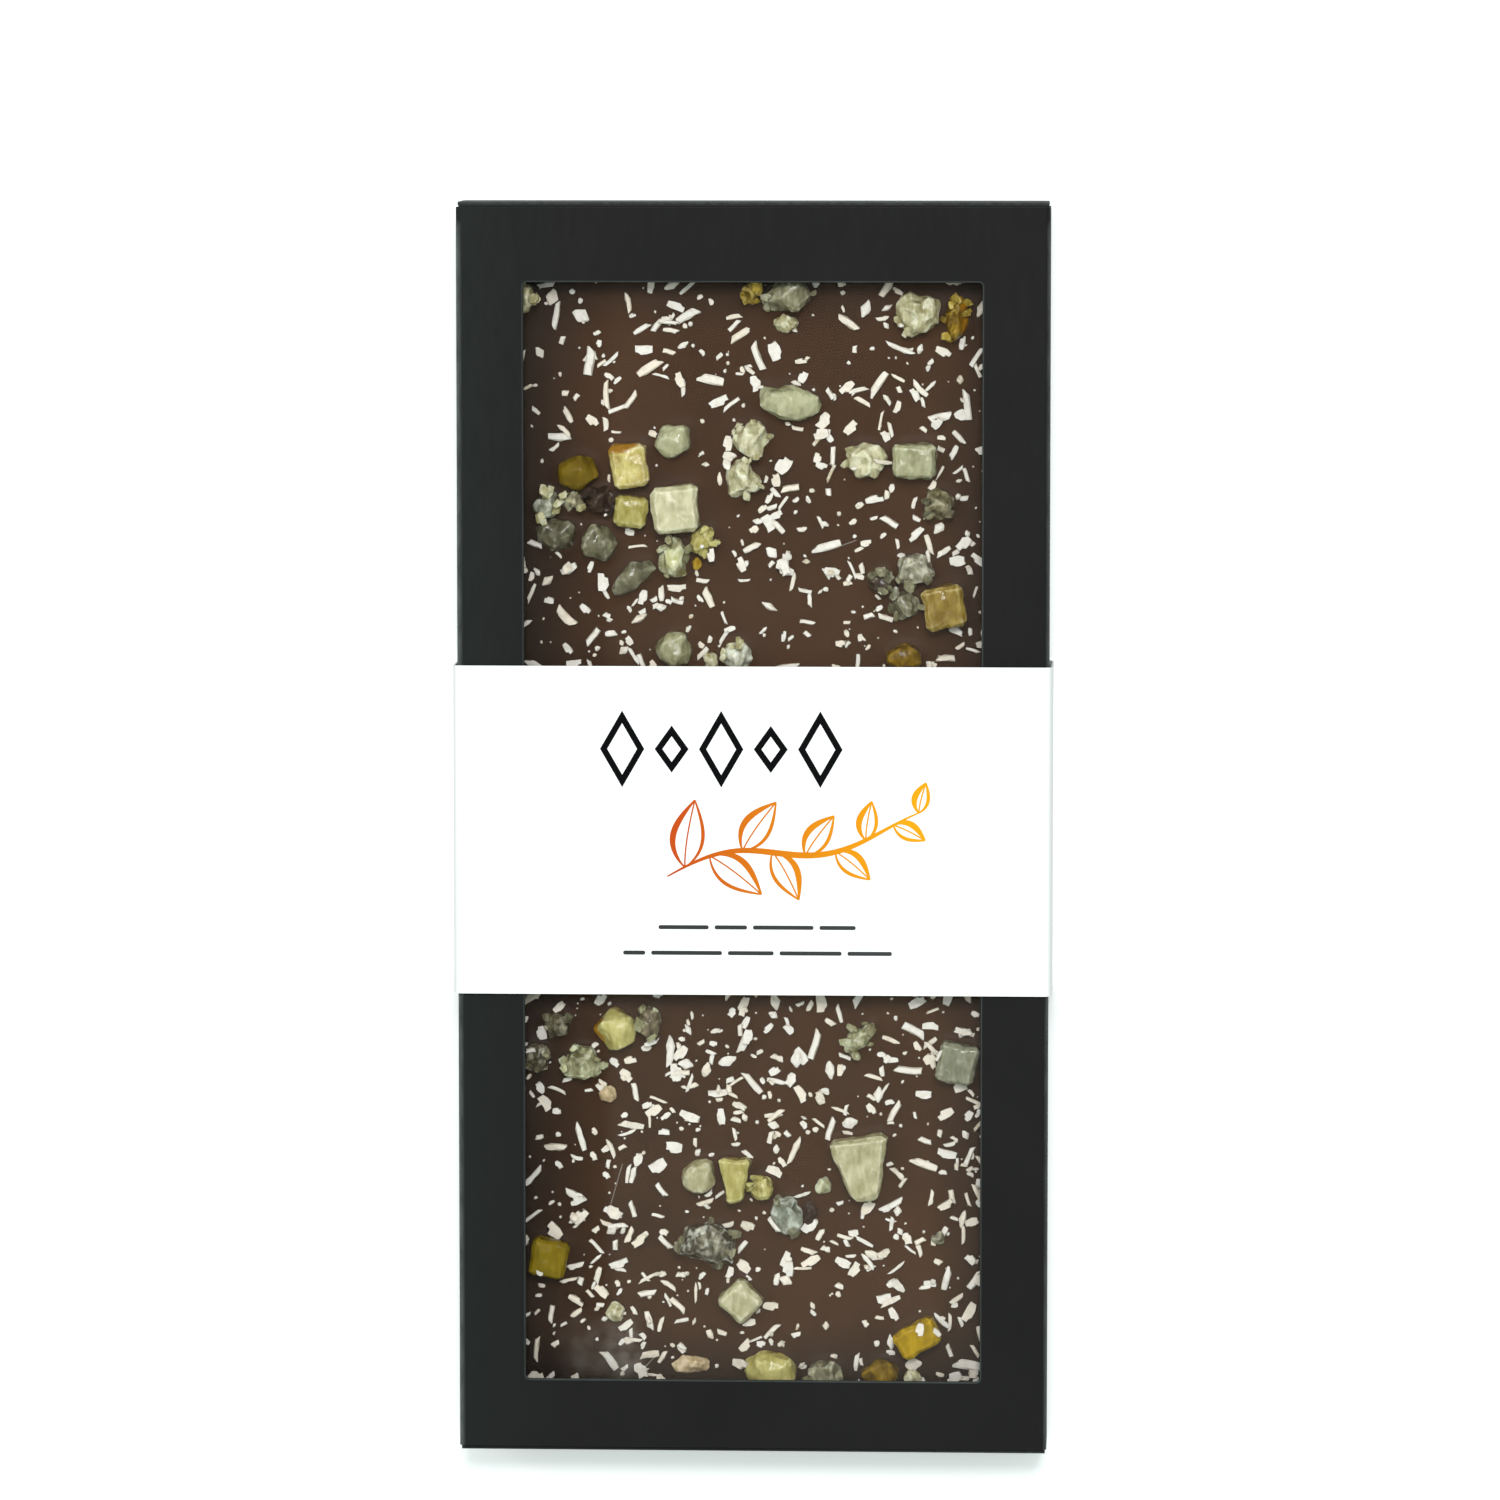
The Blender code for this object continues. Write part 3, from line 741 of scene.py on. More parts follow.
ODD_FINISHES = {
    "amber_01": PeelFinish((92, 72, 18), (176, 150, 56), (198, 176, 104), (74, 54, 6), specular=0.14),
    "amber_03": PeelFinish((70, 52, 0), (112, 90, 8), (120, 98, 24), (52, 38, 0), specular=0.14),
    "amber_04": PeelFinish((116, 90, 20), (172, 146, 64), (212, 196, 140), (96, 70, 10)),
    "amber_07": PeelFinish((88, 72, 0), (128, 107, 2), (142, 120, 26), (62, 46, 0), specular=0.12),
    "amber_08": PeelFinish((90, 64, 0), (175, 141, 0), (194, 160, 34), (74, 50, 0), specular=0.12),
    "amber_09": PeelFinish((78, 54, 0), (158, 126, 0), (174, 144, 30), (62, 40, 0), specular=0.10),
    "green_07": PeelFinish((58, 44, 28), (134, 120, 92), (172, 162, 132), (50, 38, 22)),
    "grey_05": PeelFinish((50, 42, 22), (132, 122, 88), (188, 182, 154), (50, 40, 22)),
    "grey_06": PeelFinish((70, 64, 46), (196, 190, 164), (222, 218, 200), (54, 46, 30)),
    "grey_07": PeelFinish((36, 24, 15), (66, 50, 36), (118, 104, 84), (32, 22, 15)),
    "grey_10": PeelFinish((40, 32, 20), (106, 99, 76), (158, 152, 130), (38, 30, 18)),
    "grey_11": PeelFinish((44, 36, 22), (118, 110, 84), (172, 166, 142), (42, 32, 20)),
    "grey_12": PeelFinish((98, 96, 74), (150, 150, 126), (184, 185, 166), (78, 72, 50)),
    "grey_13": PeelFinish(
        (66, 58, 40), (196, 190, 164), (222, 220, 206), (48, 38, 26), roughness=0.14, contrast=0.16
    ),
    "grey_14": PeelFinish((112, 114, 98), (200, 203, 186), (224, 227, 216), (84, 78, 62)),
    "pale_05": PeelFinish((92, 90, 72), (158, 158, 140), (206, 206, 190), (84, 78, 58)),
    "pale_06": PeelFinish((84, 76, 56), (184, 178, 142), (206, 200, 172), (76, 66, 46)),
    "pale_08": PeelFinish((162, 160, 136), (228, 228, 212), (240, 240, 230), (134, 128, 100)),
}
TAN_CRUMB = PeelFinish((160, 136, 98), (198, 176, 140), (216, 198, 168), (126, 100, 66))


def deselect_everything() -> None:
    """Leave edit mode and clear the selection."""
    if bpy.context.mode != "OBJECT":
        bpy.ops.object.mode_set(mode="OBJECT")
    bpy.ops.object.select_all(action="DESELECT")


def hold(piece: Piece) -> None:
    """Make the piece the only selected and the active one.

    Args:
        piece: The object to hold.
    """
    deselect_everything()
    piece.select_set(True)
    bpy.context.view_layer.objects.active = piece


def added(operator: Callable[..., object], **settings: object) -> Piece:
    """Add an object by one of Blender's own forms.

    Args:
        operator: What adds it.
        settings: Its properties.

    Returns:
        The new object.
    """
    deselect_everything()
    operator(**settings)
    return bpy.context.active_object


@contextmanager
def editing(piece: Piece, mode: str = "EDGE") -> Iterator[None]:
    """Open the piece in edit mode with nothing selected, and close it again.

    Args:
        piece: The mesh object to edit.
        mode: VERT, EDGE or FACE.

    Yields:
        Nothing.
    """
    hold(piece)
    bpy.ops.object.mode_set(mode="EDIT")
    bpy.ops.mesh.select_mode(type=mode)
    bpy.ops.mesh.select_all(action="DESELECT")
    yield
    bpy.ops.object.mode_set(mode="OBJECT")


def jitter(offset: float, seed: int) -> None:
    """Move every vertex of the open piece a little at random."""
    bpy.ops.mesh.select_all(action="SELECT")
    bpy.ops.transform.vertex_random(offset=offset, seed=seed)


def pick_faces(piece: Piece, rule: Callable[[Vector, Vector], bool]) -> None:
    """Select the faces whose middle and normal fit the rule, and no others.

    Args:
        piece: The mesh object, in edit mode.
        rule: The rule for a face's middle and normal.
    """
    mesh = bmesh.from_edit_mesh(piece.data)
    mesh.normal_update()
    for face in mesh.faces:
        face.select_set(rule(face.calc_center_median(), face.normal))
    bmesh.update_edit_mesh(piece.data)


def pick_edges(piece: Piece, rule: Callable[[Vector, Vector], bool]) -> None:
    """Select the edges whose two ends fit the rule, and no others.

    Args:
        piece: The mesh object, in edit mode.
        rule: The rule for an edge's two ends.
    """
    mesh = bmesh.from_edit_mesh(piece.data)
    for edge in mesh.edges:
        edge.select_set(rule(edge.verts[0].co, edge.verts[1].co))
    bmesh.update_edit_mesh(piece.data)


def pick_vertices(piece: Piece, rule: Callable[[Vector], bool]) -> None:
    """Select the vertices that fit the rule, and no others.

    Args:
        piece: The mesh object, in edit mode.
        rule: The rule for a vertex's place.
    """
    mesh = bmesh.from_edit_mesh(piece.data)
    for vertex in mesh.verts:
        vertex.select_set(rule(vertex.co))
    mesh.select_flush(False)
    bmesh.update_edit_mesh(piece.data)


def near(value: float, target: float) -> bool:
    """Whether two coordinates are the same place."""
    return abs(value - target) < TOUCH


def runs_along(first: Vector, second: Vector, axis: Axis) -> bool:
    """Whether the edge between two points runs along an axis."""
    step = second - first
    return abs(step[axis.value]) > 0.99 * step.length


def block(name: str, low: Vector, high: Vector) -> Piece:
    """Add a box between two corners, with its place in its mesh.

    Args:
        name: The new object's name.
        low: Its lowest corner.
        high: Its highest corner.

    Returns:
        The box.
    """
    piece = added(bpy.ops.mesh.primitive_cube_add, size=1, location=(low + high) / 2)
    piece.scale = high - low
    return settled(piece, name)


def settled(piece: Piece, name: str) -> Piece:
    """Name the piece and move its place, turn and scale into its mesh.

    Args:
        piece: The mesh object.
        name: Its name.

    Returns:
        The piece.
    """
    hold(piece)
    bpy.ops.object.transform_apply(location=True, rotation=True, scale=True)
    piece.name = name
    return piece


def refine(piece: Piece, kind: str, **settings: object) -> None:
    """Add one modifier to the piece and apply it.

    Args:
        piece: The mesh object.
        kind: The modifier's type.
        settings: Its properties.
    """
    hold(piece)
    bpy.ops.object.modifier_add(type=kind)
    modifier = piece.modifiers[-1]
    for name, value in settings.items():
        setattr(modifier, name, value)
    bpy.ops.object.modifier_apply(modifier=modifier.name)


def carve(piece: Piece, cutter: Piece) -> None:
    """Cut the cutter's form out of the piece and remove the cutter."""
    refine(piece, "BOOLEAN", operation="DIFFERENCE", solver="EXACT", object=cutter)
    bpy.data.objects.remove(cutter, do_unlink=True)


def smooth(piece: Piece, degrees: float) -> None:
    """Shade the piece smooth across edges that turn less than that."""
    hold(piece)
    bpy.ops.object.shade_smooth_by_angle(angle=math.radians(degrees))


def joined(pieces: Sequence[Piece], name: str) -> Piece:
    """Join the pieces into one.

    Args:
        pieces: The mesh objects.
        name: The joined object's name.

    Returns:
        The joined piece.
    """
    deselect_everything()
    for piece in pieces:
        piece.select_set(True)
    bpy.context.view_layer.objects.active = pieces[0]
    bpy.ops.object.join()
    pieces[0].name = name
    return pieces[0]


def coordinates(mesh: bpy.types.Mesh) -> np.ndarray:
    """The mesh's vertices as an array of points.

    Args:
        mesh: The mesh.

    Returns:
        One row for each vertex.
    """
    points = np.empty(len(mesh.vertices) * 3, np.float32)
    mesh.vertices.foreach_get("co", points)
    return points.reshape(-1, 3).astype(float)


def place_vertices(mesh: bpy.types.Mesh, points: np.ndarray) -> None:
    """Move the mesh's vertices to the given points."""
    mesh.vertices.foreach_set("co", points.astype(np.float32).ravel())
    mesh.update()


def mark(mesh: bpy.types.Mesh, name: str, values: np.ndarray) -> None:
    """Store one value at each vertex under that name."""
    attribute = mesh.attributes.new(name, "FLOAT", "POINT")
    attribute.data.foreach_set("value", values.astype(np.float32))


def dress(piece: Piece, slot: str, *materials: Material, replaces: Sequence[str] = ()) -> Piece:
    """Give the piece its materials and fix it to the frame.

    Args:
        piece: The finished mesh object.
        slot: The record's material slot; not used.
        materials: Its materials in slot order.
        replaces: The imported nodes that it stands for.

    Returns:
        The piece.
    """
    chosen = [min(face.material_index, len(materials) - 1) for face in piece.data.polygons]
    piece.data.materials.clear()
    for material in materials:
        piece.data.materials.append(material)
    piece.data.polygons.foreach_set("material_index", chosen)
    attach(piece, "root")
    if replaces:
        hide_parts(*replaces)
    faces = len(piece.data.polygons)
    LOG.info("%s: %d faces, stands for %s", piece.name, faces, ", ".join(replaces) or "nothing")
    return piece


def open_sleeve(name: str, low: Vector, high: Vector, radius: float, segments: int) -> Piece:
    """Model a rectangular sleeve along Y with rounded folds and no ends.

    Args:
        name: The new object's name.
        low: Its lowest corner.
        high: Its highest corner.
        radius: The radius of its folds.
        segments: The steps in each fold.

    Returns:
        The open surface.
    """
    sleeve = block(name, low, high)
    with editing(sleeve, "FACE"):
        pick_faces(sleeve, lambda middle, normal: abs(normal.y) > 0.9)
        bpy.ops.mesh.delete(type="ONLY_FACE")
        bpy.ops.mesh.select_mode(type="EDGE")
        pick_edges(sleeve, lambda a, b: runs_along(a, b, Axis.Y))
        bpy.ops.mesh.bevel(offset=radius, segments=segments, affect="EDGES")
    return sleeve


def seam_cutter(low: Vector, high: Vector, edge: float, size: Pair, spare: float) -> Piece:
    """The thin bar that cuts the line of a glued seam along the back.

    Args:
        low: The sleeve's lowest corner.
        high: The sleeve's highest corner.
        edge: The X at which the line starts.
        size: The line's width and depth.
        spare: How far the bar stands out.

    Returns:
        The cutter.
    """
    start = Vector((edge, low.y - spare, low.z - spare))
    end = Vector((edge + size[0], high.y + spare, low.z + size[1]))
    return block("seam_cutter", start, end)


@dataclass
class Carton:
    """The folding carton: one sheet of black board with a window, two tucked ends and a glued seam."""

    board: float = 0.5 * MM
    fold: float = 0.8 * MM
    window_overlap: float = 2.5 * MM
    window_corner: float = 0.5 * MM
    end_lip: float = 0.7 * MM
    front_gap: float = 0.3 * MM
    flap_reach: float = 14 * MM
    flap_drop: float = 1.2 * MM
    closing_width: float = 79.6 * MM
    closing_shoulder: float = 0.9 * MM
    tuck_depth: float = 6.4 * MM
    tuck_neck: float = 0.6 * MM
    tuck_widths: Pair = (79.2 * MM, 75.4 * MM)
    tuck_fold: float = 0.55 * MM
    hinge_fold: float = 0.3 * MM
    seam_inset: float = 1.6 * MM
    seam: Pair = (0.12 * MM, 0.22 * MM)
    edge_wear: float = 0.15 * MM
    rim_wear: float = 0.22 * MM
    crease_angle: float = 50
    face: BoardFinish = BoardFinish("black board", display(16, 15, 15), display(24, 23, 23))
    cut_edge: BoardFinish = BoardFinish("cut board edge", display(46, 49, 48), display(64, 68, 66))

    def build(self) -> None:
        """Model the carton and dress it."""
        low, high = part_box("carton")
        inset = Vector((0, self.end_lip, 0))
        carton = open_sleeve("folded_carton", low + inset, high - inset, self.fold, 6)
        self.add_end_flaps(carton, low, high)
        refine(
            carton, "SOLIDIFY", thickness=self.board, offset=-1, use_even_offset=True, material_offset_rim=1
        )
        carton.data.materials.append(self.face.material())
        carton.data.materials.append(self.cut_edge.material())
        carve(carton, self.window_cutter(high))
        self.wear_window_rim(carton, high)
        carve(carton, seam_cutter(low, high, low.x + self.seam_inset, self.seam, self.board))
        refine(
            carton,
            "BEVEL",
            width=self.edge_wear,
            segments=2,
            limit_method="ANGLE",
            angle_limit=math.radians(self.crease_angle),
            material=1,
        )
        smooth(carton, FOLD_ANGLE)
        refine(carton, "WEIGHTED_NORMAL", keep_sharp=True)
        dress(carton, "carton_board", *carton.data.materials[:], replaces=["carton"])

    def add_end_flaps(self, carton: Piece, low: Vector, high: Vector) -> None:
        """Fold in the side flaps and the closing panels at both ends.

        Args:
            carton: The open sleeve.
            low: The carton's lowest corner.
            high: The carton's highest corner.
        """
        under_front = high.z - self.board - self.front_gap
        flap_top = under_front - self.board - self.flap_drop
        with editing(carton):
            bpy.ops.mesh.select_mode(type="FACE")
            pick_faces(carton, lambda middle, normal: abs(normal.x) > 0.99)
            bpy.ops.mesh.bisect(plane_co=(0, 0, flap_top), plane_no=(0, 0, 1))
            bpy.ops.mesh.select_mode(type="EDGE")
            for end in (-1, 1):
                for side in (-1, 1):
                    self.fold_side_flap(carton, side, end, high, flap_top)
                self.fold_closing_panel(carton, end, low, high, under_front)

    def fold_side_flap(self, carton: Piece, side: int, end: int, high: Vector, flap_top: float) -> None:
        """Fold one side panel's end inwards, behind the closing panel.

        Args:
            carton: The sleeve, in edit mode.
            side: -1 for the left panel and 1 for the right one.
            end: -1 for the lower end and 1 for the top end.
            high: The carton's highest corner.
            flap_top: The height of the flap's upper edge.
        """
        mouth = end * (high.y - self.end_lip)

        def on_flap(point: Vector) -> bool:
            """Whether a point lies on the side panel's mouth, no higher than the flap's top."""
            at_mouth = near(point.x, side * high.x) and near(point.y, mouth)
            return at_mouth and point.z < flap_top + TOUCH

        pick_edges(carton, lambda a, b: on_flap(a) and on_flap(b))
        move = (-side * self.flap_reach, 0, 0)
        bpy.ops.mesh.extrude_edges_move(TRANSFORM_OT_translate={"value": move})

    def fold_closing_panel(
        self, carton: Piece, end: int, low: Vector, high: Vector, under_front: float
    ) -> None:
        """Fold the back panel's end up over the mouth and tuck it in behind the front panel.

        Args:
            carton: The sleeve, in edit mode.
            end: -1 for the lower end and 1 for the top end.
            low: The carton's lowest corner.
            high: The carton's highest corner.
            under_front: The height just under the front panel.
        """
        mouth = end * (high.y - self.end_lip)
        outer = end * high.y

        def lies_at(y: float, z: float) -> Callable[[Vector, Vector], bool]:
            """The rule for the long edges that run across the carton at one place.

            Args:
                y: Their Y.
                z: Their height.

            Returns:
                The rule for an edge's two ends.
            """
            return lambda a, b: (b - a).length > high.x and all(
                near(point.y, y) and near(point.z, z) for point in (a, b)
            )

        pick_edges(carton, lies_at(mouth, low.z))
        bpy.ops.transform.translate(value=(0, outer - mouth, 0))
        shoulder = (0, 0, self.closing_shoulder)
        bpy.ops.mesh.extrude_edges_move(TRANSFORM_OT_translate={"value": shoulder})
        hinge_width = 2 * (high.x - self.fold)
        widening = (self.closing_width / hinge_width, 1, 1)
        bpy.ops.transform.resize(value=widening, center_override=(0, outer, low.z))
        rise = (0, 0, under_front - low.z - self.closing_shoulder)
        bpy.ops.mesh.extrude_edges_move(TRANSFORM_OT_translate={"value": rise})
        width = self.closing_width
        reaches = (self.tuck_neck, self.tuck_depth - self.tuck_neck)
        for reach, new_width in zip(reaches, self.tuck_widths):
            tuck = (0, -end * reach, 0)
            bpy.ops.mesh.extrude_edges_move(TRANSFORM_OT_translate={"value": tuck})
            narrowing = (new_width / width, 1, 1)
            bpy.ops.transform.resize(value=narrowing, center_override=(0, outer, under_front))
            width = new_width
        pick_edges(carton, lies_at(outer, under_front))
        bpy.ops.mesh.bevel(offset=self.tuck_fold, segments=5, affect="EDGES")
        pick_edges(carton, lies_at(outer, low.z))
        bpy.ops.mesh.bevel(offset=self.hinge_fold, segments=3, affect="EDGES")

    def window_cutter(self, high: Vector) -> Piece:
        """The block that cuts the window, a little inside the film's outline.

        Args:
            high: The carton's highest corner.

        Returns:
            The cutter.
        """
        film_low, film_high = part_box("window_film")
        inset = Vector((self.window_overlap, self.window_overlap, 0))
        low, top = film_low + inset, film_high - inset
        low.z, top.z = high.z - 2 * self.board, high.z + self.board
        cutter = block("window_cutter", low, top)
        with editing(cutter):
            pick_edges(cutter, lambda a, b: runs_along(a, b, Axis.Z))
            bpy.ops.mesh.bevel(offset=self.window_corner, segments=3, affect="EDGES")
        cutter.data.materials.append(None)
        cutter.data.materials.append(None)
        for face in cutter.data.polygons:
            face.material_index = 1
        return cutter

    def wear_window_rim(self, carton: Piece, high: Vector) -> None:
        """Wear the window's upper rim down to the lighter core of the board.

        Args:
            carton: The carton with its window cut.
            high: The carton's highest corner.
        """
        film_low, film_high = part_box("window_film")

        def on_rim(point: Vector) -> bool:
            """Whether a point lies on the window's upper outline."""
            within = film_low.x < point.x < film_high.x and film_low.y < point.y < film_high.y
            return within and near(point.z, high.z)

        with editing(carton):
            pick_edges(carton, lambda a, b: on_rim(a) and on_rim(b))
            bpy.ops.mesh.bevel(offset=self.rim_wear, segments=2, affect="EDGES", material=1)


@dataclass
class WindowFilm:
    """The clear film behind the window, not quite flat."""

    thickness: float = 0.12 * MM
    step: float = 1.6 * MM
    wave: float = 0.06 * MM
    wave_length: float = 24 * MM
    finish: FilmFinish = FilmFinish()

    def build(self) -> None:
        """Model the film and dress it."""
        low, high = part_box("window_film")
        size = high - low
        film = added(
            bpy.ops.mesh.primitive_grid_add,
            x_subdivisions=round(size.x / self.step),
            y_subdivisions=round(size.y / self.step),
            size=1,
            location=((low.x + high.x) / 2, (low.y + high.y) / 2, high.z),
        )
        film.scale = (size.x, size.y, 1)
        settled(film, "clear_window_film")
        points = coordinates(film.data)
        for point in points:
            waves = noise.noise(Vector(point) / self.wave_length)
            point[2] -= self.wave * (1 + waves) / 2
        place_vertices(film.data, points)
        refine(film, "SOLIDIFY", thickness=self.thickness, offset=-1)
        smooth(film, FOLD_ANGLE)
        dress(film, "window_film", self.finish.material(), replaces=["window_film"])


@dataclass
class PaperBand:
    """The white paper band, glued on the back, with its simple print."""

    paper: float = 0.25 * MM
    fold: float = 1.1 * MM
    seam_at: float = 9 * MM
    seam: Pair = (0.10 * MM, 0.12 * MM)
    ink: float = 0.015 * MM
    lozenge_stroke: float = 0.85 * MM
    lozenge_row_y: float = 11.3 * MM
    lozenge_middles: tuple[float, ...] = (-17.6 * MM, -10.9 * MM, -4.2 * MM, 2.5 * MM, 9.2 * MM)
    lozenge_tall: Pair = (6.0 * MM, 10.4 * MM)
    lozenge_small: Pair = (4.6 * MM, 6.4 * MM)
    sprig_start: Pair = (-11.5 * MM, -6.0 * MM)
    sprig_end: Pair = (22.5 * MM, 1.5 * MM)
    sprig_wave: float = 1.6 * MM
    sprig_turns: float = 1.15
    leaf_shares: tuple[float, ...] = (0.07, 0.17, 0.30, 0.42, 0.55, 0.67, 0.79, 0.90, 1.0)
    leaf_lengths: Pair = (9.6 * MM, 4.2 * MM)
    leaf_spread: float = 0.95
    leaf_bulges: tuple[float, ...] = (0.24, -0.20, 0.03)
    leaf_fullness: float = 0.8
    leaf_step: float = 7e-6
    stroke_step: float = 2e-6
    pen: Pair = (0.20 * MM, 0.85 * MM)
    dash_rows: tuple[tuple[float, tuple[float, ...]], ...] = (
        (-12.9 * MM, (-12.7 * MM, 6.8 * MM, 4.4 * MM, 8.2 * MM, 4.9 * MM)),
        (-16.4 * MM, (-17.5 * MM, 3.0 * MM, 9.6 * MM, 6.2 * MM, 8.4 * MM, 6.0 * MM)),
    )
    dash_height: float = 0.55 * MM
    dash_gap: float = 0.8 * MM
    dash_rounding: float = 0.45
    finish: PaperFinish = PaperFinish()
    black_ink: InkFinish = InkFinish("black ink", display(4, 4, 6), display(7, 7, 9), specular=0.05)
    grey_ink: InkFinish = InkFinish("grey ink", display(52, 52, 54), display(60, 60, 62))
    citrus_ink: InkFinish = InkFinish(
        "citrus ink", display(192, 72, 10), display(240, 162, 0), (-10 * MM, 22 * MM)
    )

    def build(self) -> None:
        """Model the band and its print, and dress them."""
        low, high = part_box("paper_band")
        band = open_sleeve("white_paper_band", low, high, self.fold, 6)
        refine(band, "SOLIDIFY", thickness=self.paper, offset=-1, use_even_offset=True)
        carve(band, seam_cutter(low, high, self.seam_at, self.seam, self.paper))
        smooth(band, FOLD_ANGLE)
        refine(band, "WEIGHTED_NORMAL", keep_sharp=True)
        dress(band, "band_paper", self.finish.material(), replaces=["paper_band"])
        self.print_lozenges(high.z)
        self.print_sprig(high.z)
        self.print_dashes(high.z)

    def printed(self, piece: Piece, ink: InkFinish) -> None:
        """Raise a flat shape to the thickness of ink and dress it."""
        refine(piece, "SOLIDIFY", thickness=self.ink, offset=1)
        dress(piece, "band_paper", ink.material())

    def print_lozenges(self, height: float) -> None:
        """Print a row of thin-stroked lozenges, tall and small in turn.

        Args:
            height: The height that they lie at.
        """
        shapes = []
        for index, middle in enumerate(self.lozenge_middles):
            size = self.lozenge_small if index % 2 else self.lozenge_tall
            place = (middle, self.lozenge_row_y, height)
            shape = added(
                bpy.ops.mesh.primitive_circle_add, vertices=4, radius=0.5, fill_type="NGON", location=place
            )
            shape.scale = (*size, 1)
            settled(shape, f"lozenge_{index}")
            with editing(shape, "FACE"):
                bpy.ops.mesh.select_all(action="SELECT")
                bpy.ops.mesh.inset(thickness=self.lozenge_stroke, use_boundary=True)
                bpy.ops.mesh.delete(type="FACE")
            shapes.append(shape)
        self.printed(joined(shapes, "band_print_lozenges"), self.black_ink)

    def pen_stroke(self, way: Way, widths: Pair, height: float) -> Piece:
        """Draw one pen stroke, thin at both ends.

        Args:
            way: The stroke's path, from shares of its length to points in the plane.
            widths: Its width at the ends and in its middle.
            height: The height that it lies at.

        Returns:
            The flat stroke.
        """
        shape = added(bpy.ops.mesh.primitive_grid_add, x_subdivisions=40, y_subdivisions=1, size=1)
        points = coordinates(shape.data)
        share, side = points[:, 0] + 0.5, points[:, 1] * 2
        run = way(share + 0.001) - way(share - 0.001)
        run /= np.linalg.norm(run, axis=1)[:, None]
        width = widths[0] + (widths[1] - widths[0]) * np.sin(math.pi * share)
        across = np.stack((-run[:, 1], run[:, 0]), axis=1)
        points[:, :2] = way(share) + across * (side * width / 2)[:, None]
        points[:, 2] = height
        place_vertices(shape.data, points)
        return settled(shape, "stroke")

    def stem_way(self, share: np.ndarray) -> np.ndarray:
        """The sprig's stem, which rises to the right in a slow wave.

        Args:
            share: Shares of its length.

        Returns:
            The points at those shares.
        """
        start_x, start_y = self.sprig_start
        end_x, end_y = self.sprig_end
        x = start_x + (end_x - start_x) * share
        wave = self.sprig_wave * np.sin(2 * math.pi * self.sprig_turns * share)
        y = start_y + (end_y - start_y) * share + wave
        return np.stack((x, y), axis=1)

    def leaf_strokes(self, index: int, share: float, height: float) -> list[Piece]:
        """Draw one outlined leaf with its rib.

        Args:
            index: The leaf's number; even ones grow upwards.
            share: Its place along the stem.
            height: The height that it lies at.

        Returns:
            The strokes: both sides and the rib.
        """
        base, ahead = self.stem_way(np.array((share, share + 0.01)))
        lean = -self.leaf_spread if index % 2 else self.leaf_spread
        angle = math.atan2(*(ahead - base)[::-1]) + lean
        run = np.array((math.cos(angle), math.sin(angle)))
        across = np.array((-run[1], run[0]))
        length = self.leaf_lengths[0] + (self.leaf_lengths[1] - self.leaf_lengths[0]) * share

        def side_way(bulge: float) -> Way:
            """The path along a side that bulges by that share of the leaf's length."""
            return lambda at: (
                base + np.outer(at, run) * length + np.outer(self.bow(at), across) * bulge * length
            )

        thin, thick = self.pen
        middles = (thick, 0.45 * thick + 0.55 * thin, thin)
        return [
            self.pen_stroke(side_way(bulge), (thin, middle), height + number * self.stroke_step)
            for number, (bulge, middle) in enumerate(zip(self.leaf_bulges, middles))
        ]

    def bow(self, share: np.ndarray) -> np.ndarray:
        """How far a leaf's side stands out along its length: 0 at both ends, 1 near its middle."""
        return np.sin(math.pi * np.clip(share, 0, 1) ** self.leaf_fullness)

    def print_sprig(self, height: float) -> None:
        """Print a leafy sprig in pen strokes, which rises to the right.

        Args:
            height: The height that it lies at.
        """
        strokes = [self.pen_stroke(self.stem_way, self.pen, height)]
        for index, share in enumerate(self.leaf_shares):
            strokes += self.leaf_strokes(index, share, height + (index % 5 + 1) * self.leaf_step)
        self.printed(joined(strokes, "band_print_sprig"), self.citrus_ink)

    def print_dashes(self, height: float) -> None:
        """Print two rows of short dashes with rounded ends.

        Args:
            height: The height that they lie at.
        """
        shapes = []
        for y, (start, *lengths) in self.dash_rows:
            x = start
            for length in lengths:
                place = (x + length / 2, y, height)
                shape = added(bpy.ops.mesh.primitive_plane_add, size=1, location=place)
                shape.scale = (length, self.dash_height, 1)
                settled(shape, f"dash_{len(shapes)}")
                with editing(shape, "VERT"):
                    bpy.ops.mesh.select_all(action="SELECT")
                    rounding = self.dash_height * self.dash_rounding
                    bpy.ops.mesh.bevel(offset=rounding, segments=4, affect="VERTICES")
                shapes.append(shape)
                x += length + self.dash_gap
        self.printed(joined(shapes, "band_print_dashes"), self.grey_ink)


@dataclass(frozen=True)
class Relief:
    """How one form of peel is broken up: its unevenness, facets, fine wrinkles and share of veins."""

    uneven: float
    uneven_grain: float
    facets: int
    soften: int
    swell: float
    fine: float
    fine_grain: float = 0.7 * MM
    veins: float = 1.0


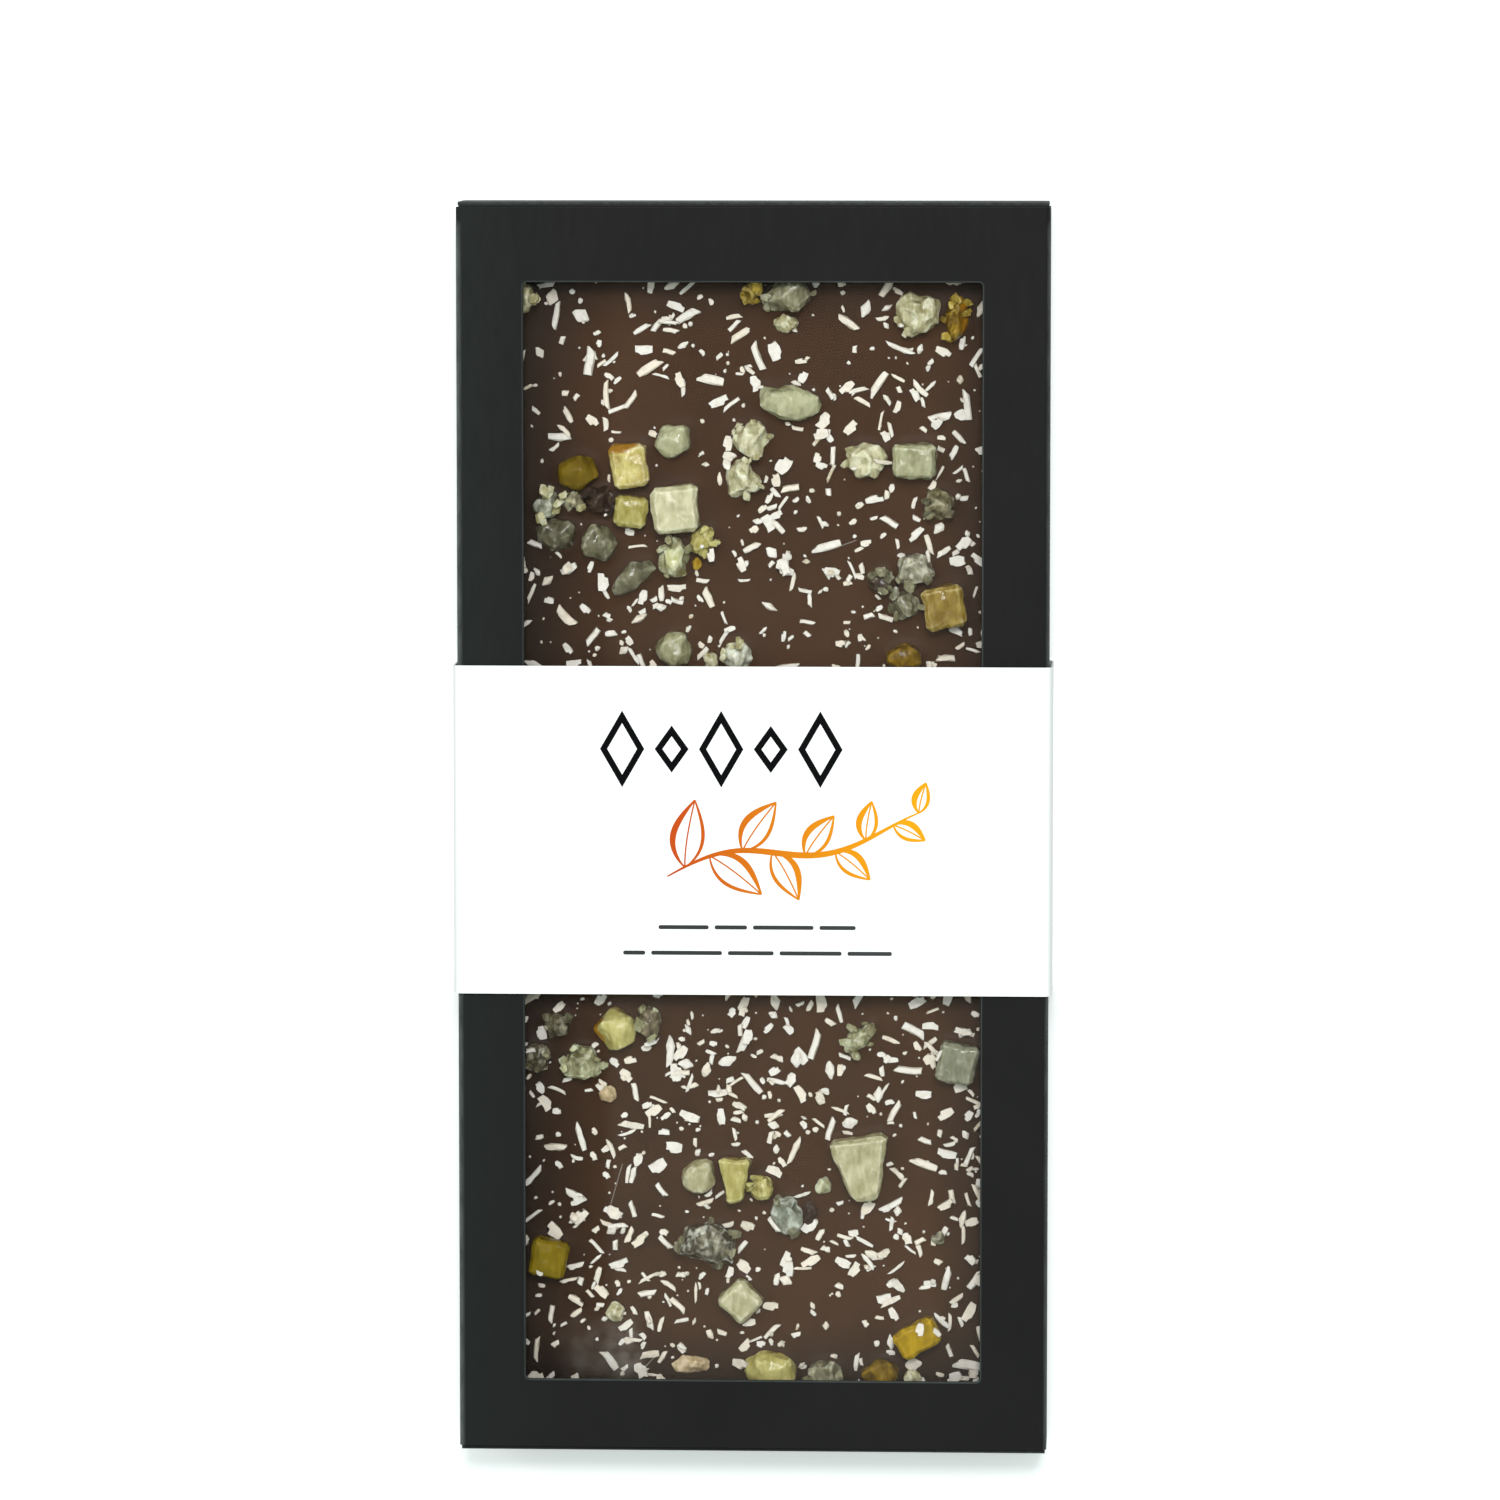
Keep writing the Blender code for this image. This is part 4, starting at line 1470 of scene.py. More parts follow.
@dataclass
class CandiedPeel:
    """The candied peel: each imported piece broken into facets, with a wrinkled surface and its own tone."""

    voxel: float = 0.15 * MM
    film_gap: float = 0.12 * MM
    skin_depth: float = 1.2 * MM
    heart_share: float = 0.5
    dice: tuple[str, ...] = (
        "amber_04", "amber_06", "amber_07", "amber_08", "green_05", "grey_12", "pale_07", "pale_12",
        "pale_13", "rind_01", "yellow_01", "yellow_03", "yellow_05",
    )
    slices: tuple[str, ...] = (
        "amber_03", "amber_05", "amber_09", "green_01", "green_02", "green_04", "grey_02", "grey_03",
        "grey_04", "pale_11", "yellow_04", "yellow_07",
    )
    dice_relief: Relief = Relief(0.60 * MM, 2.2 * MM, 100, 1, 0.05 * MM, 0.09 * MM, veins=0.2)
    slice_relief: Relief = Relief(1.00 * MM, 2.8 * MM, 84, 6, 0.34 * MM, 0.07 * MM, veins=0.25)
    lump_relief: Relief = Relief(1.90 * MM, 2.4 * MM, 84, 0, 0.24 * MM, 0.09 * MM)
    skin_sides: dict[str, Pair] = field(
        default_factory=lambda: {
            "rind_01": (-0.35, 1.0),
            "amber_02": (1.0, 0.1),
            "yellow_04": (-1.0, -0.1),
        }
    )
    hearts: tuple[str, ...] = ("green_03",)
    tones: dict[str, float] = field(
        default_factory=lambda: {
            "amber_01": 0.4, "amber_02": 0.0, "amber_05": 0.1, "amber_08": 1.2, "amber_09": 0.1,
            "green_01": 1.0, "green_02": 1.0, "green_03": 0.8, "green_04": 0.4, "green_05": 0.8,
            "green_07": 0.4, "green_08": 0.3, "green_09": 0.4, "grey_01": 0.7, "grey_02": 0.0,
            "grey_03": 0.4, "grey_04": 0.3, "grey_05": 0.6, "grey_06": 0.5, "grey_07": 0.5,
            "grey_08": 0.6, "grey_10": 0.4, "grey_11": 0.1, "grey_15": 0.6, "pale_01": 0.0,
            "pale_02": 0.4, "pale_03": 0.9, "pale_04": 0.7, "pale_06": 0.4, "pale_07": 1.0,
            "pale_08": 0.6, "pale_09": 1.0, "pale_11": 0.4, "pale_12": 0.5, "pale_13": 0.5,
            "rind_01": 0.7, "yellow_01": 0.1, "yellow_02": 0.5, "yellow_04": 0.8, "yellow_05": 0.5,
            "yellow_06": 0.6, "yellow_07": 0.6,
        }
    )
    crumb_kinds: tuple[PeelKind, ...] = (
        PeelKind.PALE, PeelKind.AMBER, PeelKind.PALE, PeelKind.PALE, PeelKind.GREEN, PeelKind.COATED,
        PeelKind.GREY, PeelKind.PALE, PeelKind.PALE, PeelKind.PALE,
    )

    def __post_init__(self) -> None:
        """Make the materials that all pieces share."""
        self.lumps: list[Piece] = []
        self.materials = {
            kind: finish.material(f"{kind.value} candied peel") for kind, finish in PEEL_FINISHES.items()
        }

    def build(self) -> list[Piece]:
        """Model every piece of peel and dress it.

        Returns:
            The finished pieces.
        """
        names = sorted(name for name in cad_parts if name.startswith("peel_"))
        return [self.build_one(name, index) for index, name in enumerate(names)]

    def build_one(self, node: str, index: int) -> Piece:
        """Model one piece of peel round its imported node.

        Args:
            node: The node's name.
            index: The piece's number, for its tone.

        Returns:
            The finished piece.
        """
        label = node.removeprefix("peel_")
        kind = PeelKind(label.split("_")[0])
        peel = bpy.data.objects.new(f"candied_{node}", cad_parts[node].data.copy())
        bpy.context.scene.collection.objects.link(peel)
        with editing(peel, "VERT"):
            bpy.ops.mesh.select_all(action="SELECT")
            bpy.ops.mesh.remove_doubles(threshold=TOUCH)
        relief = self.relief_of(label)
        self.break_up(peel, relief)
        self.keep_under_film(peel)
        tone = self.tones.get(label, random.Random(index).random())
        self.mark_looks(peel, tone, self.skin_sides.get(label), label in self.hearts)
        mark(peel.data, "ragged", np.full(len(peel.data.vertices), relief.veins))
        smooth(peel, ANY_ANGLE)
        if relief is self.lump_relief:
            self.lumps.append(peel)
        odd = ODD_FINISHES.get(label)
        material = odd.material(f"{node} flesh") if odd else self.materials[kind]
        return dress(peel, f"peel_{kind.value}", material, replaces=[node])

    def relief_of(self, label: str) -> Relief:
        """The relief of one piece.

        Args:
            label: Its node's name, without peel_.

        Returns:
            The neat one for dice, the calm one for slices and the ragged one for the rest.
        """
        if label in self.dice:
            return self.dice_relief
        return self.slice_relief if label in self.slices else self.lump_relief

    def break_up(self, piece: Piece, relief: Relief) -> None:
        """Make the piece uneven, break it into facets with worn edges and wrinkle it.

        Args:
            piece: The closed piece.
            relief: How strongly.
        """
        refine(piece, "REMESH", mode="VOXEL", voxel_size=2 * self.voxel)
        self.displace(piece, relief.uneven_grain, relief.uneven, 0.5 - relief.swell / relief.uneven)
        refine(piece, "DECIMATE", ratio=min(1.0, relief.facets / len(piece.data.polygons)))
        refine(piece, "REMESH", mode="VOXEL", voxel_size=self.voxel)
        refine(piece, "SMOOTH", factor=0.5, iterations=relief.soften)
        self.displace(piece, relief.fine_grain, relief.fine, 0.5)

    def displace(self, piece: Piece, grain: float, depth: float, rest: float) -> None:
        """Push the surface in and out by a cloudy texture.

        Args:
            piece: The finely meshed piece.
            grain: The rough size of one hollow.
            depth: How far the surface moves in all.
            rest: The texture's value at which the surface stays.
        """
        texture = bpy.data.textures.new("wrinkle", "CLOUDS")
        texture.noise_scale = grain
        texture.noise_depth = 1
        refine(piece, "DISPLACE", texture=texture, texture_coords="LOCAL", strength=depth, mid_level=rest)

    def keep_under_film(self, peel: Piece) -> None:
        """Keep the piece a little below the window film.

        Args:
            peel: The piece of peel.
        """
        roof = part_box("window_film")[0].z - self.film_gap
        points = coordinates(peel.data)
        points[:, 2] = np.minimum(points[:, 2], roof)
        place_vertices(peel.data, points)

    def mark_looks(
        self, piece: Piece, tone: float, skin_side: Pair | None = None, heart: bool = False
    ) -> None:
        """Store the tone, the ridges, the yellower middle and the side that carries the outer skin.

        Args:
            piece: The piece of peel.
            tone: Its shade, from 0 for dark to 1 for light.
            skin_side: The way that its skin faces in plan, or None if it has no skin.
            heart: Whether its middle is yellower.
        """
        points = coordinates(piece.data)
        mark(piece.data, "tone", np.full(len(points), tone))
        mark(piece.data, "ridge", self.ridges(piece.data, points))
        away = (points[:, :2] - points[:, :2].mean(0)) / np.ptp(points[:, :2], axis=0)
        mark(piece.data, "heart", heart * (1 - np.linalg.norm(away, axis=1) / self.heart_share))
        skin = np.zeros(len(points))
        if skin_side:
            way = np.array(skin_side)
            reach = points[:, :2] @ (way / np.linalg.norm(way))
            skin = np.clip(1 - (reach.max() - reach) / (2 * self.skin_depth), 0, 1)
        mark(piece.data, "skin", skin)

    def ridges(self, mesh: bpy.types.Mesh, points: np.ndarray) -> np.ndarray:
        """How far each point stands out from those round it.

        Args:
            mesh: The finely meshed piece.
            points: Its points.

        Returns:
            One value for each point: 0 in a hollow, one half where flat and 1 on a ridge.
        """
        ends = np.empty(len(mesh.edges) * 2, int)
        mesh.edges.foreach_get("vertices", ends)
        ends = ends.reshape(-1, 2)
        normals = np.empty(len(points) * 3, np.float32)
        mesh.vertex_normals.foreach_get("vector", normals)
        around = self.averaged(points, ends)
        standing = np.einsum("ij,ij->i", points - around, normals.reshape(-1, 3))[:, None]
        for _ in range(3):
            standing = (standing + self.averaged(standing, ends)) / 2
        return np.clip(0.5 + 4.0 * standing[:, 0] / self.voxel, 0, 1)

    def averaged(self, values: np.ndarray, ends: np.ndarray) -> np.ndarray:
        """The mean of each point's neighbours.

        Args:
            values: One row for each point.
            ends: The two ends of each edge.

        Returns:
            The means, one row for each point.
        """
        sums, counts = np.zeros_like(values), np.zeros(len(values))
        for here, there in ((0, 1), (1, 0)):
            np.add.at(sums, ends[:, here], values[ends[:, there]])
            np.add.at(counts, ends[:, here], 1)
        return sums / counts[:, None]


@dataclass
class Tablet:
    """The chocolate: a moulded slab whose poured top climbs a little up each piece of peel."""

    thickness: float = 6.4 * MM
    rounding: float = 0.6 * MM
    rounding_steps: int = 4
    draft: float = 1.0 * MM
    step: float = 0.5 * MM
    sag: float = 0.07 * MM
    sag_length: float = 17 * MM
    climb: float = 0.38 * MM
    climb_reach: float = 0.45 * MM
    waist: float = 0.25 * MM
    crease_angle: float = 50
    finish: ChocolateFinish = ChocolateFinish()

    def __post_init__(self) -> None:
        """Read the slab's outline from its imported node."""
        low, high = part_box("chocolate_slab")
        self.bottom = low.z
        self.top = low.z + self.thickness
        self.half = ((high.x - low.x) / 2, (high.y - low.y) / 2)

    def build(self, peel: Sequence[Piece]) -> None:
        """Model the slab round the peel and dress it.

        Args:
            peel: The finished pieces of peel.
        """
        half_x, half_y = (side - self.rounding for side in self.half)
        slab = added(
            bpy.ops.mesh.primitive_grid_add,
            x_subdivisions=round(2 * half_x / self.step),
            y_subdivisions=round(2 * half_y / self.step),
            size=1,
            location=(0, 0, self.top),
        )
        slab.scale = (2 * half_x, 2 * half_y, 1)
        settled(slab, "chocolate_tablet")
        with editing(slab):
            mesh = bmesh.from_edit_mesh(slab.data)
            for edge in mesh.edges:
                edge.select_set(edge.is_boundary)
            bmesh.update_edit_mesh(slab.data)
            self.round_the_sides(half_x, half_y)
            bpy.ops.mesh.edge_face_add()
            bpy.ops.mesh.select_all(action="SELECT")
            bpy.ops.mesh.normals_make_consistent(inside=False)
        self.pour_the_top(slab, peel)
        smooth(slab, self.crease_angle)
        dress(slab, "dark_chocolate", self.finish.material(), replaces=["chocolate_slab"])

    def side_profile(self) -> list[Pair]:
        """The slab's side from its top to its bottom.

        Returns:
            Pairs of reach beyond the flat top and height.
        """
        turns = [math.pi / 2 * (i + 1) / self.rounding_steps for i in range(self.rounding_steps)]
        r = self.rounding
        upper = [(r * math.sin(t), self.top - r * (1 - math.cos(t))) for t in turns]
        floor_reach = r - self.draft
        lower = [(floor_reach, self.bottom + r)]
        lower += [(floor_reach - r * (1 - math.cos(t)), self.bottom + r * (1 - math.sin(t))) for t in turns]
        return upper + lower

    def round_the_sides(self, half_x: float, half_y: float) -> None:
        """Draw the selected rim out and down along the side's profile.

        Args:
            half_x: Half the flat top's width.
            half_y: Half the flat top's length.
        """
        reach, height = 0.0, self.top
        for new_reach, new_height in self.side_profile():
            move = (0, 0, new_height - height)
            bpy.ops.mesh.extrude_edges_move(TRANSFORM_OT_translate={"value": move})
            size = [(half + new_reach) / (half + reach) for half in (half_x, half_y)]
            bpy.ops.transform.resize(value=(*size, 1), center_override=(0, 0, new_height))
            reach, height = new_reach, new_height

    def pour_the_top(self, slab: Piece, peel: Sequence[Piece]) -> None:
        """Let the top sag and swell a little, and climb up the peel.

        Args:
            slab: The slab.
            peel: The finished pieces of peel.
        """
        outlines = [coordinates(piece.data) for piece in peel]
        rims = np.concatenate([p[abs(p[:, 2] - self.top) < self.waist] for p in outlines])
        tree = KDTree(len(rims))
        for index, (x, y, _) in enumerate(rims):
            tree.insert((x, y, 0), index)
        tree.balance()
        points = coordinates(slab.data)
        for index in np.flatnonzero(points[:, 2] > self.top - TOUCH):
            x, y, _ = points[index]
            distance = tree.find((x, y, 0))[2]
            points[index, 2] += self.sag * noise.noise(Vector((x, y, 0)) / self.sag_length)
            points[index, 2] += self.climb * math.exp(-distance / self.climb_reach)
        place_vertices(slab.data, points)


@dataclass(frozen=True)
class Flake:
    """One coconut flake's form, plan place, turn and size, and whether it stays whatever lies there."""

    kind: FlakeKind
    x: float
    y: float
    turn: float
    length: float
    width: float
    height: float
    fixed: bool = False


@dataclass
class HeightField:
    """The height of whatever lies on the chocolate, on a fine grid seen from above."""

    half: Pair
    floor: float
    cell: float = 0.25 * MM

    def __post_init__(self) -> None:
        """Start with the bare chocolate."""
        self.shape = tuple(math.ceil(2 * half / self.cell) + 1 for half in self.half)
        self.heights = np.full(self.shape, self.floor)

    def cell_of(self, x: float, y: float) -> tuple[int, int]:
        """The grid cell of a place, held inside the grid.

        Args:
            x: The place's X.
            y: The place's Y.

        Returns:
            The cell's column and row.
        """
        column = round((x + self.half[0]) / self.cell)
        row = round((y + self.half[1]) / self.cell)
        return min(max(column, 0), self.shape[0] - 1), min(max(row, 0), self.shape[1] - 1)

    def lay_mesh(self, points: np.ndarray) -> None:
        """Raise the field to the given points where they stand higher.

        Args:
            points: The points.
        """
        columns = np.clip(np.round((points[:, 0] + self.half[0]) / self.cell), 0, self.shape[0] - 1)
        rows = np.clip(np.round((points[:, 1] + self.half[1]) / self.cell), 0, self.shape[1] - 1)
        np.maximum.at(self.heights, (columns.astype(int), rows.astype(int)), points[:, 2])

    def at(self, x: float, y: float) -> float:
        """The height at a place."""
        return float(self.heights[self.cell_of(x, y)])

    def raise_to(self, x: float, y: float, radius: float, height: float) -> None:
        """Raise the field to a height within a radius of a place.

        Args:
            x: The place's X.
            y: The place's Y.
            radius: How far round it.
            height: The height.
        """
        reach = max(int(radius / self.cell), 0)
        column, row = self.cell_of(x, y)
        spot = self.heights[
            max(column - reach, 0) : column + reach + 1, max(row - reach, 0) : row + reach + 1
        ]
        np.maximum(spot, height, out=spot)


@dataclass
class GratedCoconut:
    """The grated coconut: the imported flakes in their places, and all the smaller ones between them."""

    tablet: Tablet
    seed: int = 12
    variants: int = 14
    singles: int = 1200
    clumps: int = 150
    clump_sizes: tuple[int, int] = (2, 4)
    clump_radius: float = 1.6 * MM
    crumbs: int = 760
    rim_flakes: tuple[int, int] = (1, 4)
    flake_reach: Pair = (0.85, 1.3)
    rim_shards: tuple[int, int] = (3, 7)
    shard_reach: Pair = (0.75, 1.08)
    shard_length: Pair = (0.9 * MM, 2.1 * MM)
    shard_widths: Pair = (0.45, 0.85)
    shard_height: Pair = (0.5 * MM, 1.0 * MM)
    margin: float = 1.2 * MM
    shred_share: float = 0.55
    stack_height: float = 0.2 * MM
    stack_refusal: float = 0.7
    peel_height: float = 1.8 * MM
    peel_refusal: float = 0.94
    packed_sink: float = 0.35
    packed_top_share: float = 0.7
    packed_least: float = 0.1 * MM
    chip_share: float = 0.38
    crumb_height: float = 0.75 * MM
    film_gap: float = 0.15 * MM
    most_tilt: float = 0.6
    most_bend: float = 0.16
    rest_share: float = 0.42
    smooth_angle: float = 26
    shred_lengths: tuple[float, float, float] = (1.0, 2.0, 1.6)
    shred_widths: Pair = (0.40, 0.86)
    shred_heights: Pair = (0.6, 0.9)
    chip_lengths: tuple[float, float, float] = (0.9, 1.7, 1.5)
    chip_widths: Pair = (0.45, 0.80)
    chip_heights: Pair = (0.4, 0.6)
    crumb_lengths: tuple[float, float, float] = (0.24, 0.70, 1.8)
    crumb_widths: Pair = (0.6, 1.0)
    density_least: float = 0.38
    density_right: float = 0.40
    density_low: float = 0.26
    finish: CoconutFinish = CoconutFinish()

    def build(self, peel: Sequence[Piece], lumps: Sequence[Piece]) -> None:
        """Model the flakes, lay them out and dress them.

        Args:
            peel: The finished pieces of peel.
            lumps: Those of them that are ragged lumps.
        """
        self.draw = random.Random(self.seed)
        self.field = HeightField(self.tablet.half, self.tablet.top)
        for piece in peel:
            self.field.lay_mesh(coordinates(piece.data))
        shapes = {kind: self.model_shapes(kind) for kind in FlakeKind}
        packed = self.packed_flakes()
        self.lay_shards(lumps, shapes[FlakeKind.CHIP])
        flakes = packed + self.loose_flakes() + self.flakes_round(peel)
        material = self.finish.material()
        for kind in FlakeKind:
            chosen = [flake for flake in flakes if flake.kind is kind]
            pieces = self.lay(chosen, shapes[kind], f"coconut_{kind.value}")
            dress(pieces, "dark_chocolate", material)
        LOG.info("coconut: %d packed and %d loose flakes", len(packed), len(flakes) - len(packed))

    def model_shapes(self, kind: FlakeKind) -> Forms:
        """Model the few forms of one kind, each in a box of size one.

        Args:
            kind: The kind of flake.

        Returns:
            For each form its points and its faces.
        """
        makers = {
            FlakeKind.SHRED: self.model_shred,
            FlakeKind.CHIP: self.model_chip,
            FlakeKind.CRUMB: self.model_crumb,
        }
        forms = []
        for variant in range(self.variants):
            shape = makers[kind](variant)
            points = coordinates(shape.data)
            low, high = points.min(0), points.max(0)
            points = (points - (low + high) / 2) / (high - low)
            forms.append((points, [tuple(face.vertices) for face in shape.data.polygons]))
            bpy.data.objects.remove(shape, do_unlink=True)
        return forms

    def model_shred(self, variant: int) -> Piece:
        """Model a short stick with slanting ends and worn edges.

        Args:
            variant: The form's number.

        Returns:
            The stick.
        """
        half = Vector((1.5, 0.35, 0.26))
        shape = block(f"shred_{variant}", -half, half)
        with editing(shape):
            pick_edges(shape, lambda a, b: runs_along(a, b, Axis.X))
            bpy.ops.mesh.bevel(offset=0.13, segments=1, affect="EDGES")
            pick_edges(shape, lambda a, b: runs_along(a, b, Axis.X))
            bpy.ops.mesh.subdivide(number_cuts=3)
            bpy.ops.mesh.select_mode(type="VERT")
            for end in (-1, 1):
                slant = 0.55 * math.sin(2.1 * variant + end)
                pick_vertices(shape, lambda co, end=end: co.x * end > 1.4 and co.y > 0)
                bpy.ops.transform.translate(value=(slant, 0, 0))
                taper = 0.66 + 0.10 * ((variant + 2 * end) % 4)
                pick_vertices(shape, lambda co, end=end: co.x * end > 0.9)
                bpy.ops.transform.resize(value=(1, taper, taper), center_override=(0, 0.05 * end, 0))
            jitter(0.13, variant)
        return shape

    def model_chip(self, variant: int) -> Piece:
        """Model a flat chip: a pointed leaf, or a broken plate with a notch.

        Args:
            variant: The form's number.

        Returns:
            The chip.
        """
        if variant % 5:
            return self.model_broken_chip(variant)
        shape = added(bpy.ops.mesh.primitive_ico_sphere_add, subdivisions=2, radius=1)
        shape.scale = (1.2, 0.66, 0.30)
        settled(shape, f"chip_{variant}")
        with editing(shape, "VERT"):
            for end in (-1, 1):
                point = 0.55 + 0.14 * ((variant // 5 + end) % 3)
                pick_vertices(shape, lambda co, end=end: co.x * end > 0.62)
                bpy.ops.transform.resize(value=(1, point, 0.8), center_override=(0, 0.1 * end, 0))
            jitter(0.16, variant)
        return shape

    def model_broken_chip(self, variant: int) -> Piece:
        """Model a flat plate with uneven, broken sides.

        Args:
            variant: The form's number.

        Returns:
            The plate.
        """
        half = Vector((1.1, 0.6, 0.2))
        shape = block(f"chip_{variant}", -half, half)
        with editing(shape):
            pick_edges(shape, lambda a, b: not runs_along(a, b, Axis.Z))
            bpy.ops.mesh.subdivide(number_cuts=2)
            bpy.ops.mesh.select_mode(type="VERT")
            corner = (variant % 2 * 2 - 1, (variant // 2) % 2 * 2 - 1)
            pick_vertices(shape, lambda co: co.x * corner[0] > 0.9 and co.y * corner[1] > 0.5)
            bpy.ops.transform.translate(value=(-0.45 * corner[0], -0.35 * corner[1], 0))
            pick_vertices(shape, lambda co: co.x * corner[0] < -0.9)
            bpy.ops.transform.resize(value=(1, 0.68, 0.9), center_override=(0, 0.1, 0))
            jitter(0.19, variant)
        return shape

    def model_crumb(self, variant: int) -> Piece:
        """Model a small crumb.

        Args:
            variant: The form's number.

        Returns:
            The crumb.
        """
        shape = added(bpy.ops.mesh.primitive_ico_sphere_add, subdivisions=1, radius=0.5)
        with editing(shape, "VERT"):
            jitter(0.17, variant)
        return shape

    def packed_flakes(self) -> list[Flake]:
        """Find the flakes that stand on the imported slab.

        Returns:
            The flakes, and no crumbs of peel.
        """
        mesh = bmesh.new()
        mesh.from_mesh(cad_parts["chocolate_slab"].data)
        bmesh.ops.remove_doubles(mesh, verts=mesh.verts, dist=TOUCH)
        level = self.tablet.top + self.packed_least
        tops = {vert for vert in mesh.verts if vert.co.z > level}
        found = []
        self.peel_crumbs = []
        while tops:
            island = [tops.pop()]
            for vert in island:
                for edge in vert.link_edges:
                    other = edge.other_vert(vert)
                    if other in tops:
                        tops.discard(other)
                        island.append(other)
            points = np.array(sorted(tuple(vert.co) for vert in island))
            if len(points) < 3:
                continue
            if points[:, 2].max() > self.tablet.top + self.crumb_height:
                self.peel_crumbs.append(points)
            else:
                found.append(self.measured(points))
        mesh.free()
        self.peel_crumbs.sort(key=lambda points: tuple(points[0]))
        return sorted(found, key=lambda flake: (flake.x, flake.y))

    def measured(self, points: np.ndarray) -> Flake:
        """The flake whose upper face has these corners.

        Args:
            points: The corners.

        Returns:
            The flake.
        """
        middle = points.mean(0)
        plan = points[:, :2] - middle[:2]
        _, _, axes = np.linalg.svd(plan, full_matrices=False)
        reach = np.ptp(plan @ axes.T, axis=0) / self.packed_top_share
        rise = points[:, 2].max() - self.tablet.top
        height = rise / (1 - self.packed_sink)
        kind = FlakeKind.CHIP if reach[1] > self.chip_share * reach[0] else FlakeKind.SHRED
        turn = math.atan2(axes[0, 1], axes[0, 0])
        return Flake(kind, middle[0], middle[1], turn, reach[0], reach[1], height, fixed=True)

    def loose_flakes(self) -> list[Flake]:
        """Draw the places and sizes of all the other flakes.

        Returns:
            The flakes: singles, clumps and then crumbs.
        """
        flakes = [self.drawn_flake(*self.drawn_place()) for _ in range(self.singles)]
        for _ in range(self.clumps):
            x, y = self.drawn_place()
            for _ in range(self.draw.randint(*self.clump_sizes)):
                turn = self.draw.uniform(0, 2 * math.pi)
                away = self.clump_radius * math.sqrt(self.draw.random())
                flakes.append(self.drawn_flake(x + away * math.cos(turn), y + away * math.sin(turn)))
        for _ in range(self.crumbs):
            x, y = self.drawn_place()
            size = self.drawn_length(*self.crumb_lengths)
            turn = self.draw.uniform(0, math.pi)
            width = size * self.draw.uniform(*self.crumb_widths)
            flakes.append(Flake(FlakeKind.CRUMB, x, y, turn, size, width, 0.7 * width))
        return flakes

    def rim_places(self, piece: Piece, count: tuple[int, int], reach: Pair) -> list[Pair]:
        """Draw places round the rim of a piece of peel.

        Args:
            piece: The piece.
            count: The fewest and the most places.
            reach: How near and how far they lie, as shares of its half size.

        Returns:
            The places' X and Y.
        """
        points = coordinates(piece.data)[:, :2]
        middle, half = points.mean(0), np.ptp(points, axis=0) / 2
        places = []
        for _ in range(self.draw.randint(*count)):
            turn = self.draw.uniform(0, 2 * math.pi)
            away = self.draw.uniform(*reach)
            offset = half * away * np.array((math.cos(turn), math.sin(turn)))
            places.append(tuple(middle + offset))
        return places

    def flakes_round(self, peel: Sequence[Piece]) -> list[Flake]:
        """Draw the flakes that stick to the rims of the peel.

        Args:
            peel: The finished pieces of peel.

        Returns:
            The flakes.
        """
        count, reach = self.rim_flakes, self.flake_reach
        places = [place for piece in peel for place in self.rim_places(piece, count, reach)]
        return [self.drawn_flake(*place) for place in places]

    def lay_shards(self, lumps: Sequence[Piece], shapes: Forms) -> None:
        """Lay small shards of peel against the rims of the ragged lumps and dress them.

        Args:
            lumps: The ragged lumps of peel.
            shapes: The forms that the shards come in.
        """
        for kind in PeelKind:
            alike = [piece for piece in lumps if kind.value in piece.name]
            shards = []
            for piece in alike:
                for place in self.rim_places(piece, self.rim_shards, self.shard_reach):
                    length = self.draw.uniform(*self.shard_length)
                    width = length * self.draw.uniform(*self.shard_widths)
                    turn = self.draw.uniform(0, math.pi)
                    height = self.draw.uniform(*self.shard_height)
                    shards.append(Flake(FlakeKind.CHIP, *place, turn, length, width, height, fixed=True))
            if shards:
                pieces = self.lay(shards, shapes, f"peel_shards_{kind.value}")
                mark(pieces.data, "ridge", np.full(len(pieces.data.vertices), 0.5))
                mark(pieces.data, "ragged", np.ones(len(pieces.data.vertices)))
                dress(pieces, f"peel_{kind.value}", *alike[0].data.materials[:])

    def drawn_place(self) -> Pair:
        """Draw a place on the chocolate, more often to the right and lower down.

        Returns:
            Its X and Y.
        """
        half_x, half_y = (half - self.margin for half in self.tablet.half)
        while True:
            x, y = self.draw.uniform(-half_x, half_x), self.draw.uniform(-half_y, half_y)
            right = (x / half_x + 1) / 2
            low = (1 - y / half_y) / 2
            share = self.density_least + self.density_right * right + self.density_low * low
            if self.draw.random() < share:
                return x, y

    def drawn_flake(self, x: float, y: float) -> Flake:
        """Draw a shred or a chip for a place.

        Args:
            x: The place's X.
            y: The place's Y.

        Returns:
            The flake.
        """
        turn = self.draw.uniform(0, math.pi)
        if self.draw.random() < self.shred_share:
            length = self.drawn_length(*self.shred_lengths)
            width = self.draw.uniform(*self.shred_widths) * MM
            height = width * self.draw.uniform(*self.shred_heights)
            return Flake(FlakeKind.SHRED, x, y, turn, length, width, height)
        length = self.drawn_length(*self.chip_lengths)
        width = length * self.draw.uniform(*self.chip_widths)
        height = self.draw.uniform(*self.chip_heights) * MM
        return Flake(FlakeKind.CHIP, x, y, turn, length, width, height)

    def drawn_length(self, least: float, spread: float, bias: float) -> float:
        """Draw a length, more often a short one, from its least and spread in millimetres."""
        return (least + spread * self.draw.random() ** bias) * MM

